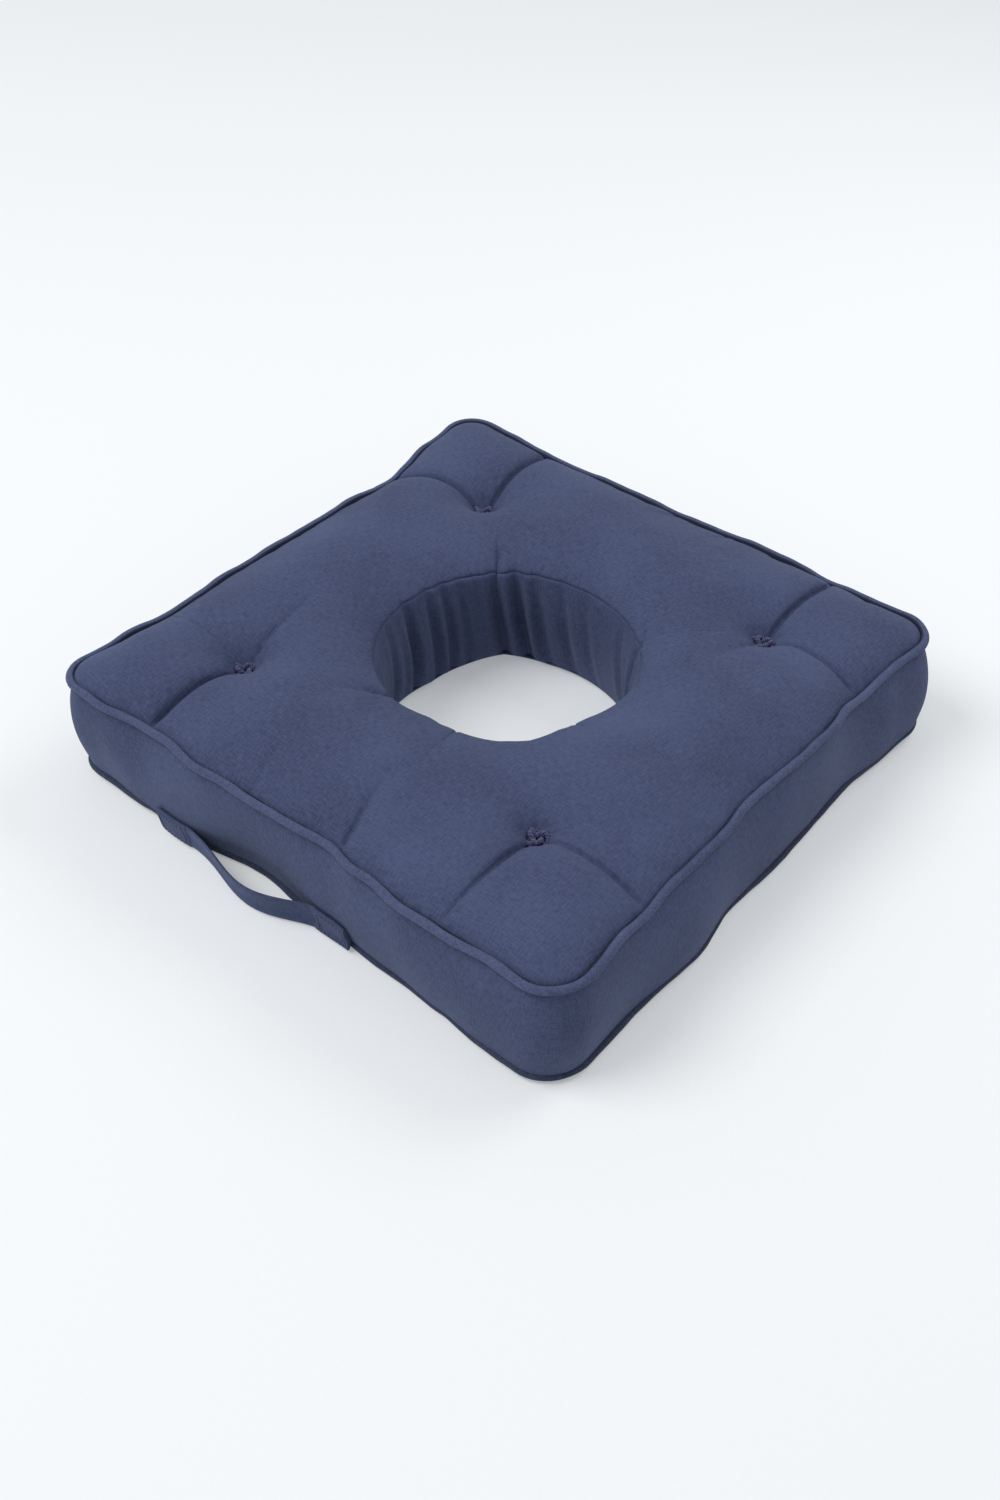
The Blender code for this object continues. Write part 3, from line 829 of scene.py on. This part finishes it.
def tube(name, path, radius, sides, closed=True, twist=0.0, lobes=0, lobe_share=0.0, up=(0, 0, 1)):
    """A round or lobed tube along a path, with a pattern in metres along and round it."""
    path = np.asarray(path, float)
    ahead = np.roll(path, -1, 0) - np.roll(path, 1, 0) if closed else np.gradient(path, axis=0)
    ahead /= np.linalg.norm(ahead, axis=1, keepdims=True)
    side = np.cross(ahead, np.array(up))
    side /= np.linalg.norm(side, axis=1, keepdims=True)
    top = np.cross(side, ahead)
    gaps = np.linalg.norm(np.diff(path, axis=0, append=path[:1]), axis=1)
    at = np.concatenate([[0], np.cumsum(gaps)[:-1]])
    plain = np.linspace(0, 2 * np.pi, sides, endpoint=False)[None, :]
    angle = plain + (at * twist)[:, None]
    size = np.broadcast_to(radius, (len(path),))[:, None] * (1 + lobe_share * np.cos(lobes * plain))
    way = side[:, None] * np.cos(angle)[..., None] + top[:, None] * np.sin(angle)[..., None]
    ring = path[:, None] + way * size[..., None]
    rows = len(path) if closed else len(path) - 1
    quads = []
    for row in range(rows):
        here, there = row * sides, (row + 1) % len(path) * sides
        for k in range(sides):
            quads.append((here + k, here + (k + 1) % sides, there + (k + 1) % sides, there + k))
    if not closed:
        quads += [tuple(range(sides))[::-1], tuple((len(path) - 1) * sides + k for k in range(sides))]
    obj = new_mesh(name, ring.reshape(-1, 3), quads)
    flat = np.stack(np.broadcast_arrays(at[:, None], plain * np.mean(radius)), -1)
    add_uv(obj, flat.reshape(-1, 2))
    obj.data.shade_smooth()
    return obj


def pipe_path(upper, count):
    point, out, at = outline(PIPE_LINE, CORNER_R, count)
    length = at[-1] + at[1]
    x, y = point.T
    if upper:
        z = PIPE_Z + 0.0004 + wander(at, length, (0.0007, 9, 1.0), (0.0005, 23, 2.0))
        push = PIPE_OUT + wander(at, length, (0.0005, 13, 0.4), (0.0004, 37, 3.0))
    else:
        rise = wander(at, length, (0.0012, 5, 2.2), (0.0008, 11, 0.7))
        z = PIPE_R + 0.0003 + np.maximum(rise, 0)
        push = -0.0006 + wander(at, length, (0.0008, 7, 5.0), (0.0004, 19, 1.3))
    return np.column_stack([x + out[:, 0] * push, y + out[:, 1] * push, z]), at


for level, upper in (("top", True), ("bottom", False)):
    path, at = pipe_path(upper, PIPE_POINTS)
    length = at[-1] + at[1]
    puckers = 1 + wander(at, length, (0.025, 61, 0.3), (0.02, 97, 1.9), (0.02, 29, 4.0))
    piping = tube(f"{level}_piping", dressed(path), COVERED_R * puckers, PIPE_SIDES)
    cord = tube(
        f"{level}_cord", dressed(pipe_path(upper, CORD_POINTS)[0]), CORD_R, CORD_SIDES,
        twist=2 * np.pi / CORD_LAY, lobes=3, lobe_share=0.12,
    )
    for piece, stands_for, slot in (
        (piping, f"{level}_piping_cover", "cotton_cover"),
        (cord, f"{level}_piping_cord", "piping_cord"),
    ):
        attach(piece, "cushion")
        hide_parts(stands_for)
        print(piece.name, len(piece.data.polygons), "faces")

# %% [markdown]
# ## Knots of yarn
# Each knot is one strand of soft three-ply yarn wound into a tight trefoil round the twine, with
# its cut ends left short. It is made once and copied, each copy turned its own way, because
# no two are tied alike.

# %% Tufts
YARN_R = 0.0015
KNOT_R = 0.0045  # from the twine to the middle of the winding
KNOT_TURN = 0.0021  # how far the winding strays from it
KNOT_PROUD = 0.0026  # from a knot's seat to its middle
YARN_TWIST = 2 * math.pi / 0.007
YARN_SIDES = 15
TAILS = (  # cut ends: bearing in degrees, length and rise
    (20, 0.0058, 0.0014), (140, 0.0044, 0.0024), (215, 0.0054, -0.0006), (300, 0.0050, 0.0020),
)
TAIL_START = 0.0028


def yarn(name, path, closed):
    return tube(
        name, path, YARN_R, YARN_SIDES, closed, twist=YARN_TWIST, lobes=3, lobe_share=0.16
    )


turn = np.linspace(0, 2 * np.pi, 96, endpoint=False)
from_axis = KNOT_R + KNOT_TURN * np.cos(3 * turn)
loops = [from_axis * np.cos(2 * turn), from_axis * np.sin(2 * turn), KNOT_TURN * np.sin(3 * turn)]
strands = [yarn("knot_loop", np.stack(loops, -1), True)]
for degrees, reach, rise in TAILS:
    facing = math.radians(degrees)
    way = np.array([math.cos(facing), math.sin(facing), 0])
    share = np.linspace(0, 1, 10)[:, None]
    bend = np.array([0, 0, 1]) * rise * np.sin(share * 2.2)
    strands.append(yarn("knot_tail", way * (TAIL_START + reach * share) + bend, False))
select_only(strands[0])
for strand in strands:
    strand.select_set(True)
bpy.ops.object.join()
knot = strands[0]
print("one knot", len(knot.data.polygons), "faces")

tufts = []
for level, z in (("top", TUFT_Z + KNOT_PROUD), ("bottom", UNDER_TUFT_Z - KNOT_PROUD)):
    for number, (row, sy) in enumerate((("front", -1), ("back", 1))):
        for column, sx in (("left", -1), ("right", 1)):
            tuft = knot.copy()
            tuft.data = knot.data.copy()
            tuft.name = f"{level}_knot_{row}_{column}"
            bpy.context.collection.objects.link(tuft)
            spin = Matrix.Rotation(1.1 + 1.9 * number + 0.8 * sx + 0.5 * (level == "top"), 4, "Z")
            flip = Matrix.Rotation(math.pi if level == "bottom" else 0, 4, "X")
            place = Matrix.Translation((sx * TUFT_AT + MIDDLE.x, sy * TUFT_AT + MIDDLE.y, z))
            tuft.data.transform(place @ flip @ spin)
            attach(tuft, "cushion")
            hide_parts(f"{level}_tuft_{row}_{column}")
            tufts.append(tuft)
bpy.data.objects.remove(knot)
print(len(tufts), "tufts")

# %% [markdown]
# ## Carrying strap
# The strap is one strip of the cover's cloth, folded to two layers. Its two ends are turned under
# and sewn flat on the band, and the slack between them stands out in a loose loop that leans as
# it leaves each end. The strap's back follows the real surface of the band, which is found by
# casting rays at it.

# %% Strap
strap_low, strap_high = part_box("handle_loop")
end_low, end_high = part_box("handle_end_left")
far_low, far_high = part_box("handle_end_right")
STRAP_X = (end_low.x, end_high.x, far_low.x, far_high.x)
STRAP_Z = (strap_low.z + 0.0006, strap_high.z)
STRAP_THICK = 0.0026  # two layers of cloth
END_THICK = 0.0036  # and where they are turned under and sewn flat
STEP_RUN = 0.012  # share of the loop over which it thins
STRAP_GAP = 0.0004
LOOP_BOW = end_low.y - strap_low.y - 0.007  # how far the loop stands out
LOOP_SKEW = 1.3  # over 1, it stands out most beyond its middle
LOOP_LEAN = 4  # degrees
PIPING_TOP = 0.0035  # rays at the band start no lower
STATIONS = 170  # sections along the strap
ACROSS = 9  # points up it


def tree_of(obj):
    """A search tree of one mesh, for casting rays at it."""
    return BVHTree.FromPolygons(
        [vertex.co.copy() for vertex in obj.data.vertices],
        [tuple(polygon.vertices) for polygon in obj.data.polygons],
    )


front_trees = [tree_of(cloth_pieces["side"]), tree_of(bpy.data.objects["bottom_piping"])]


def band_face(x, z):
    """Y of the band's outer face, or of the piping below it where that stands further out."""
    start_at = Vector((x, MIDDLE.y - 2 * HALF, max(z, PIPING_TOP)))
    hits = [tree.ray_cast(start_at, Vector((0, 1, 0)))[0] for tree in front_trees]
    return min(hit.y for hit in hits if hit is not None)


def strap_back(x, z):
    """Y of the strap's back: on the band at its ends, and drawn straight between them."""
    inner_left, inner_right = STRAP_X[1], STRAP_X[2]
    share = min(max((x - inner_left) / (inner_right - inner_left), 0), 1)
    straight = band_face(inner_left, z) * (1 - share) + band_face(inner_right, z) * share
    on_band = band_face(x, z)
    return (min(straight, on_band) if 0 < share < 1 else on_band) - STRAP_GAP, share


def strap_section(x):
    """One closed section: up the back, over, and down the front."""
    rows = np.linspace(STRAP_Z[0], STRAP_Z[1], ACROSS)
    middle = (STRAP_Z[0] + STRAP_Z[1]) / 2
    back, front = [], []
    for z in rows:
        y, share = strap_back(x, z)
        bow = LOOP_BOW * math.sin(math.pi * share ** LOOP_SKEW) ** 1.5
        lean = math.tan(math.radians(LOOP_LEAN)) * math.sin(math.pi * share) ** 0.7
        thinned = 1 - min(max((abs(share - 0.5) - 0.5 + STEP_RUN) / STEP_RUN, 0), 1)
        thick = END_THICK + (STRAP_THICK - END_THICK) * thinned
        edge = 1 - 0.45 * (abs(z - middle) / (middle - STRAP_Z[0])) ** 6
        y += -bow - lean * max(z - STRAP_Z[0], 0)
        swell = thick * (1 - edge) / 2
        back.append((x, y - swell, z))
        front.append((x, y - thick + swell, z))
    return back + front[::-1]


def end_eased(count):
    """X of the stations, closer together where the strap leaves its sewn ends."""
    return spread(STRAP_X[0], STRAP_X[3], count, STRAP_X, 2.0, 0.006)


sections = [strap_section(x) for x in end_eased(STATIONS)]
ring_points = 2 * ACROSS
strap_points = [point for section in sections for point in section]
strap_quads = []
for row in range(STATIONS):
    for k in range(ring_points):
        here, there = row * ring_points, (row + 1) * ring_points
        following = (k + 1) % ring_points
        strap_quads.append((here + k, here + following, there + following, there + k))
strap_quads.append(tuple(range(ring_points))[::-1])
strap_quads.append(tuple(STATIONS * ring_points + k for k in range(ring_points)))
strap = new_mesh("carrying_strap", strap_points, strap_quads)
bm = bmesh.new()
bm.from_mesh(strap.data)
bmesh.ops.recalc_face_normals(bm, faces=bm.faces)
bm.to_mesh(strap.data)
bm.free()
strap_co = coordinates(strap.data)
add_uv(strap, strap_co[:, [0, 2]])
soften = strap.modifiers.new("soften", "SUBSURF")
soften.levels = soften.render_levels = 1
apply_all(strap)
strap.data.shade_smooth()
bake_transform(strap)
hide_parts("handle_loop", "handle_end_left", "handle_end_right")
print("strap", len(strap.data.polygons), "faces, out to Y", round(strap_co[:, 1].min(), 4))

# %% [markdown]
# ## Stitching of the strap's ends
# Each end is sewn down with a rectangle of small stitches. One stitch is a rounded bead of thread,
# half sunk in the cloth, and it is copied along the four sides.

# %% Stitches
STITCH_LONG = 0.0025
STITCH_PITCH = 0.0031
THREAD_R = 0.00034
STITCH_IN = 0.0026  # from the edge of a sewn end

bpy.ops.object.select_all(action="DESELECT")
bpy.ops.mesh.primitive_cylinder_add(vertices=8, radius=THREAD_R, depth=STITCH_LONG * 0.6)
stitch = bpy.context.object
bpy.ops.object.mode_set(mode="EDIT")
bpy.ops.mesh.select_all(action="DESELECT")
bpy.ops.object.mode_set(mode="OBJECT")
for polygon in stitch.data.polygons:
    polygon.select = abs(polygon.normal.z) > 0.9
bpy.ops.object.mode_set(mode="EDIT")
bpy.ops.mesh.select_mode(type="FACE")
for rise, shrink in ((0.15, 0.8), (0.05, 0.45)):
    bpy.ops.mesh.extrude_region_shrink_fatten(
        TRANSFORM_OT_shrink_fatten={"value": STITCH_LONG * rise}
    )
    bpy.ops.transform.resize(value=(shrink, shrink, 1))
bpy.ops.object.mode_set(mode="OBJECT")
print("one stitch", len(stitch.data.polygons), "faces", round(stitch.dimensions.z * 1000, 2), "mm")

strap_tree = tree_of(strap)


def stitch_places(x0, x1, z0, z1):
    """Middle and direction of each stitch round a rectangle."""
    corners = ((x0, z0), (x1, z0), (x1, z1), (x0, z1))
    for a, b in zip(corners, corners[1:] + corners[:1]):
        run = Vector((b[0] - a[0], 0, b[1] - a[1]))
        count = round(run.length / STITCH_PITCH)
        for k in range(count):
            yield Vector((a[0], 0, a[1])) + run * (k + 0.5) / count, run.normalized()


for side, x0, x1 in (("left", STRAP_X[0], STRAP_X[1]), ("right", STRAP_X[2], STRAP_X[3])):
    row = []
    for middle, way in stitch_places(
        x0 + STITCH_IN, x1 - STITCH_IN, STRAP_Z[0] + STITCH_IN, STRAP_Z[1] - STITCH_IN
    ):
        start_at = Vector((middle.x, MIDDLE.y - 2 * HALF, middle.z))
        hit, normal, *_ = strap_tree.ray_cast(start_at, Vector((0, 1, 0)))
        along_cloth = (way - normal * way.dot(normal)).normalized()
        frame_of = Matrix((along_cloth.cross(normal), normal, along_cloth)).transposed().to_4x4()
        copy = stitch.copy()
        copy.data = stitch.data.copy()
        bpy.context.collection.objects.link(copy)
        copy.data.transform(Matrix.Translation(hit + normal * THREAD_R * 0.25) @ frame_of)
        row.append(copy)
    bpy.ops.object.select_all(action="DESELECT")
    for copy in row:
        copy.select_set(True)
    bpy.context.view_layer.objects.active = row[0]
    bpy.ops.object.join()
    seam = row[0]
    seam.name = f"strap_stitches_{side}"
    seam.matrix_world = Matrix.Identity(4)
    seam.data.shade_smooth()
    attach(seam, "cushion")
    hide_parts(f"handle_stitching_{side}")
    print(seam.name, len(row), "stitches")
bpy.data.objects.remove(stitch)

# %% [markdown]
# ## Material helpers
# Colours are written as the sRGB hex values that a screen shows, and one function turns them to
# the linear values that Blender calculates with. One more function adds a node with its settings
# and links, and the short ones after it make the nodes that every material here needs.

# %% Node helpers
def colour(hex_code):
    """Linear RGBA of an sRGB hex value."""
    parts = [int(hex_code[i:i + 2], 16) / 255 for i in (1, 3, 5)]
    return [p / 12.92 if p <= 0.04045 else ((p + 0.055) / 1.055) ** 2.4 for p in parts] + [1]


def node(tree, kind, inputs=None, **settings):
    """Adds a node; an input is a value, or another node's output to link."""
    new = tree.nodes.new(kind)
    for key, value in settings.items():
        setattr(new, key, value)
    for key, value in (inputs or {}).items():
        if isinstance(value, bpy.types.NodeSocket):
            tree.links.new(value, new.inputs[key])
        else:
            new.inputs[key].default_value = value
    return new


def maths(tree, operation, *values):
    """A maths node's result."""
    return node(tree, "ShaderNodeMath", dict(enumerate(values)), operation=operation).outputs[0]


def ranged(tree, value, low, high):
    """0 at the low value or under, 1 at the high one or over."""
    limits = {"Value": value, "From Min": low, "From Max": high}
    return node(tree, "ShaderNodeMapRange", limits).outputs["Result"]


def noise(tree, place, **settings):
    return node(tree, "ShaderNodeTexNoise", {"Vector": place, **settings}).outputs["Fac"]


def add_bump(tree, shader, relief, strength, distance):
    settings = {"Height": relief, "Strength": strength, "Distance": distance}
    bump = node(tree, "ShaderNodeBump", settings)
    tree.links.new(bump.outputs["Normal"], shader.inputs["Normal"])


def new_material(name):
    material = bpy.data.materials.new(name)
    material.use_nodes = True
    return material, material.node_tree, material.node_tree.nodes["Principled BSDF"]


def mixed(tree, share, first, second):
    """Mixes two colours by a share, and gives the result's socket."""
    mix = node(tree, "ShaderNodeMix", data_type="RGBA")
    for key, value in ((0, share), (6, first), (7, second)):
        if isinstance(value, bpy.types.NodeSocket):
            tree.links.new(value, mix.inputs[key])
        else:
            mix.inputs[key].default_value = value
    return mix.outputs[2]


# %% [markdown]
# ## Woven cotton
# The cover is a plain-woven cotton of matt dyed yarn. Real threads are about 0.35 mm apart, too
# fine to show here, so the weave is drawn three times as coarse. Thread by thread the dye
# takes unevenly, which gives the eye short flecks along both directions, and loose fibres on the
# surface scatter a faint sheen at grazing angles. The weave follows each cloth's flat pattern, and
# the piping is cut on the bias, so its weave is turned 45 degrees.

# %% Cotton materials
THREAD_PITCH = 0.0011
BAND_REPEAT = math.pi / 10  # a band texture's repeat at scale 1
FLECK_SCALE = 900.0  # per metre: flecks about 1 mm long
CLOUD_SCALE = 14.0  # per metre: shades of dye about 7 cm wide
BIAS = math.radians(45)


def cotton(name, deep, pale, turn=0.0, shaded_side=None):
    """Cloth on the uv pattern; on a tube it can paint shade along the side that faces its seam."""
    material, tree, shader = new_material(name)
    flat = node(tree, "ShaderNodeUVMap", uv_map="weave").outputs["UV"]
    turned_flat = node(tree, "ShaderNodeMapping", {"Vector": flat, "Rotation": (0, 0, turn)})
    pattern = turned_flat.outputs["Vector"]
    threads = []
    for direction in ("X", "Y"):
        wave = node(
            tree, "ShaderNodeTexWave",
            {
                "Vector": pattern, "Scale": BAND_REPEAT / THREAD_PITCH, "Distortion": 1.2,
                "Detail": 1.0, "Detail Scale": 0.4,
            },
            bands_direction=direction,
        )
        threads.append(wave.outputs["Fac"])
    crossing = maths(tree, "MULTIPLY", *threads)
    flecks = []
    for stretch in ((1, 0.22, 1), (0.22, 1, 1)):
        along = node(tree, "ShaderNodeMapping", {"Vector": pattern, "Scale": stretch})
        flecks.append(noise(tree, along.outputs["Vector"], Scale=FLECK_SCALE, Detail=2.0))
    fleck = maths(tree, "ADD", *flecks)
    cloudy = noise(tree, pattern, Scale=CLOUD_SCALE, Detail=3.0)
    tone = ranged(tree, maths(tree, "ADD", fleck, cloudy), 1.15, 1.85)
    tone = maths(tree, "MULTIPLY_ADD", crossing, 0.35, tone)
    base = mixed(tree, tone, colour(deep), colour(pale))
    # Painted shade: the side of a piping that faces its seam is mixed towards a dark navy, as if the
    # groove beside the seam shaded it.
    if shaded_side is not None:
        round_it = node(tree, "ShaderNodeSeparateXYZ", {"Vector": flat}).outputs["Y"]
        off = maths(tree, "ABSOLUTE", maths(tree, "SUBTRACT", round_it, shaded_side))
        shade = ranged(tree, off, shaded_side * 0.40, shaded_side * 0.50)
        base = mixed(tree, shade, colour("#23283B"), base)
    tree.links.new(base, shader.inputs["Base Color"])
    add_bump(tree, shader, maths(tree, "ADD", crossing, fleck), 0.55, 0.00035)
    shader.inputs["Roughness"].default_value = 0.92
    shader.inputs["Specular IOR Level"].default_value = 0.25
    shader.inputs["Sheen Weight"].default_value = 0.16
    shader.inputs["Sheen Roughness"].default_value = 0.45
    shader.inputs["Sheen Tint"].default_value = colour("#9DA9BE")
    return material


PAINTED_SHADE_MIDDLE = math.radians(225) * COVERED_R  # the middle of the painted shade, round a piping from its outer side, over its top
cover_cotton = cotton("navy_plain_weave_cotton", "#353D5A", "#4A5474")
# The upper piping carries painted shade on the side that faces its seam.
bias_cotton = cotton("navy_bias_cut_cotton", "#3A4360", "#515B7B", BIAS, PAINTED_SHADE_MIDDLE)
# Painted shade: the lower piping is coloured darker all round, standing for the shade under the
# band's bulge.
shaded_bias = cotton("navy_bias_cut_cotton_painted_shade", "#262C40", "#3A425A", BIAS)
strap_cotton = cotton("navy_strap_cotton", "#333B58", "#495373")
print("cotton nodes", len(cover_cotton.node_tree.nodes))

# %% [markdown]
# ## Yarn, thread, cord, twine and fibre
# The knots are soft three-ply yarn with a fuzzy, darker surface. The sewing thread is smoother and
# slightly glossy. The piping cord, the twine and the stuffing are undyed cotton, and hide inside.

# %% Other materials
PLY_SLANT = math.radians(35)
FIBRE_SCALE = 2600.0  # per metre: single fibres
CLUMP_SCALE = 90.0  # per metre: clumps about 1 cm wide


def twisted(name, deep, pale, pitch, gloss, fuzz, vector="weave"):
    """Plied strands: bands that run round a strand at the twist's pitch."""
    material, tree, shader = new_material(name)
    if vector == "weave":
        place = node(tree, "ShaderNodeUVMap", uv_map="weave").outputs["UV"]
        turn = (0, 0, PLY_SLANT)
    else:
        place = node(tree, "ShaderNodeTexCoord").outputs["Object"]
        turn = (PLY_SLANT, 0, 0)
    slanted = node(tree, "ShaderNodeMapping", {"Vector": place, "Rotation": turn}).outputs["Vector"]
    bands = node(
        tree, "ShaderNodeTexWave",
        {"Vector": slanted, "Scale": BAND_REPEAT / pitch, "Distortion": 2.0, "Detail": 2.0},
        bands_direction="X" if vector == "weave" else "Z",
    ).outputs["Fac"]
    fibres = noise(tree, place, Scale=FIBRE_SCALE, Detail=3.0)
    tone = ranged(tree, maths(tree, "MULTIPLY_ADD", bands, 0.5, fibres), 0.35, 1.15)
    tree.links.new(mixed(tree, tone, colour(deep), colour(pale)), shader.inputs["Base Color"])
    add_bump(tree, shader, tone, 0.6, 0.0003)
    shader.inputs["Roughness"].default_value = 1 - gloss
    shader.inputs["Sheen Weight"].default_value = fuzz
    shader.inputs["Sheen Roughness"].default_value = 0.5
    return material


def matted(name, deep, pale):
    """Loose fibre: soft clumps with fine strands in them."""
    material, tree, shader = new_material(name)
    place = node(tree, "ShaderNodeTexCoord").outputs["Object"]
    clumps = noise(tree, place, Scale=CLUMP_SCALE, Detail=6.0, Distortion=1.5)
    tree.links.new(mixed(tree, clumps, colour(deep), colour(pale)), shader.inputs["Base Color"])
    add_bump(tree, shader, clumps, 0.7, 0.002)
    shader.inputs["Roughness"].default_value = 0.95
    return material


yarn_material = twisted("navy_soft_ply_yarn", "#24284A", "#484C7A", 0.0022, 0.05, 0.3)
thread_material = twisted(
    "navy_polyester_sewing_thread", "#2B3350", "#4E5879", 0.0008, 0.4, 0.05, "object"
)
cord_material = twisted("undyed_cotton_piping_cord", "#CFC7B4", "#F1EBDD", 0.004, 0.1, 0.2)
twine_material = twisted("waxed_linen_twine", "#8E7F66", "#C9BB9E", 0.002, 0.35, 0.0, "object")
fibre_material = matted("undyed_cotton_fibre_stuffing", "#DAD5C8", "#F4F1E9")

# %% Hand the materials out
finishes = {
    "top_cloth": cover_cotton, "under_cloth": cover_cotton, "side_cloth": cover_cotton,
    "hole_lining": cover_cotton, "top_piping": bias_cotton, "bottom_piping": shaded_bias,
    "carrying_strap": strap_cotton, "strap_stitches_left": thread_material,
    "strap_stitches_right": thread_material, "top_cord": cord_material,
    "bottom_cord": cord_material, "fibre_stuffing": fibre_material,
}
finishes |= {tuft.name: yarn_material for tuft in tufts}
finishes |= {name: twine_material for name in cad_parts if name.startswith("tuft_twine")}
for name, material in finishes.items():
    piece = bpy.data.objects[name]
    piece.data.materials.clear()
    piece.data.materials.append(material)
print(len(finishes), "pieces have their material")

# %% [markdown]
# ## Floor and light
# The cushion lies on a pale opal table that runs out of view and glows a little, so that shadows
# stay light. One large soft lamp stands on the left, a small one at the back right brightens the
# far corner, and the bright room does the rest.

# %% Studio
KEY_AT = Vector((-1.6, -1.7, 3.0))
KEY_SIZE = 2.4
KEY_POWER = 80
FILL_AT = Vector((0.5, 1.2, 1.4))
FILL_SIZE = 1.0
FILL_POWER = 9.0
ROOM_LIGHT = 0.52
FLOOR_GLOW = 0.285
FLOOR_SIZE = 16
GRAIN_SCALE = 420.0  # per metre: the sheet's grain, about 2 mm wide

floor_material, tree, shader = new_material("lit_opal_acrylic_table")
place = node(tree, "ShaderNodeTexCoord").outputs["Object"]
grain = noise(tree, place, Scale=GRAIN_SCALE, Detail=3.0)
speckled = mixed(tree, grain, colour("#CDCFD0"), colour("#D1D3D4"))
tree.links.new(speckled, shader.inputs["Base Color"])
add_bump(tree, shader, grain, 0.2, 0.0002)
shader.inputs["Roughness"].default_value = 0.85
shader.inputs["Emission Color"].default_value = colour("#F7FAFC")
shader.inputs["Emission Strength"].default_value = FLOOR_GLOW

bpy.ops.object.select_all(action="DESELECT")
bpy.ops.mesh.primitive_plane_add(size=FLOOR_SIZE, location=(0, 0, 0))
floor = bpy.context.object
floor.name = "studio_floor"
floor.data.materials.append(floor_material)

world = bpy.data.worlds.new("bright_room")
bpy.context.scene.world = world
world.use_nodes = True
world.node_tree.nodes["Background"].inputs["Color"].default_value = colour("#FAFBFF")
world.node_tree.nodes["Background"].inputs["Strength"].default_value = ROOM_LIGHT

for name, place, size, power in (
    ("key_light", KEY_AT, KEY_SIZE, KEY_POWER), ("fill_light", FILL_AT, FILL_SIZE, FILL_POWER),
):
    bpy.ops.object.light_add(type="AREA", location=place)
    lamp = bpy.context.object
    lamp.name = name
    lamp.data.shape = "DISK"
    lamp.data.size = size
    lamp.data.energy = power
    lamp.rotation_euler = (MIDDLE - place).to_track_quat("-Z", "Y").to_euler()
bpy.context.scene.view_settings.view_transform = "Standard"
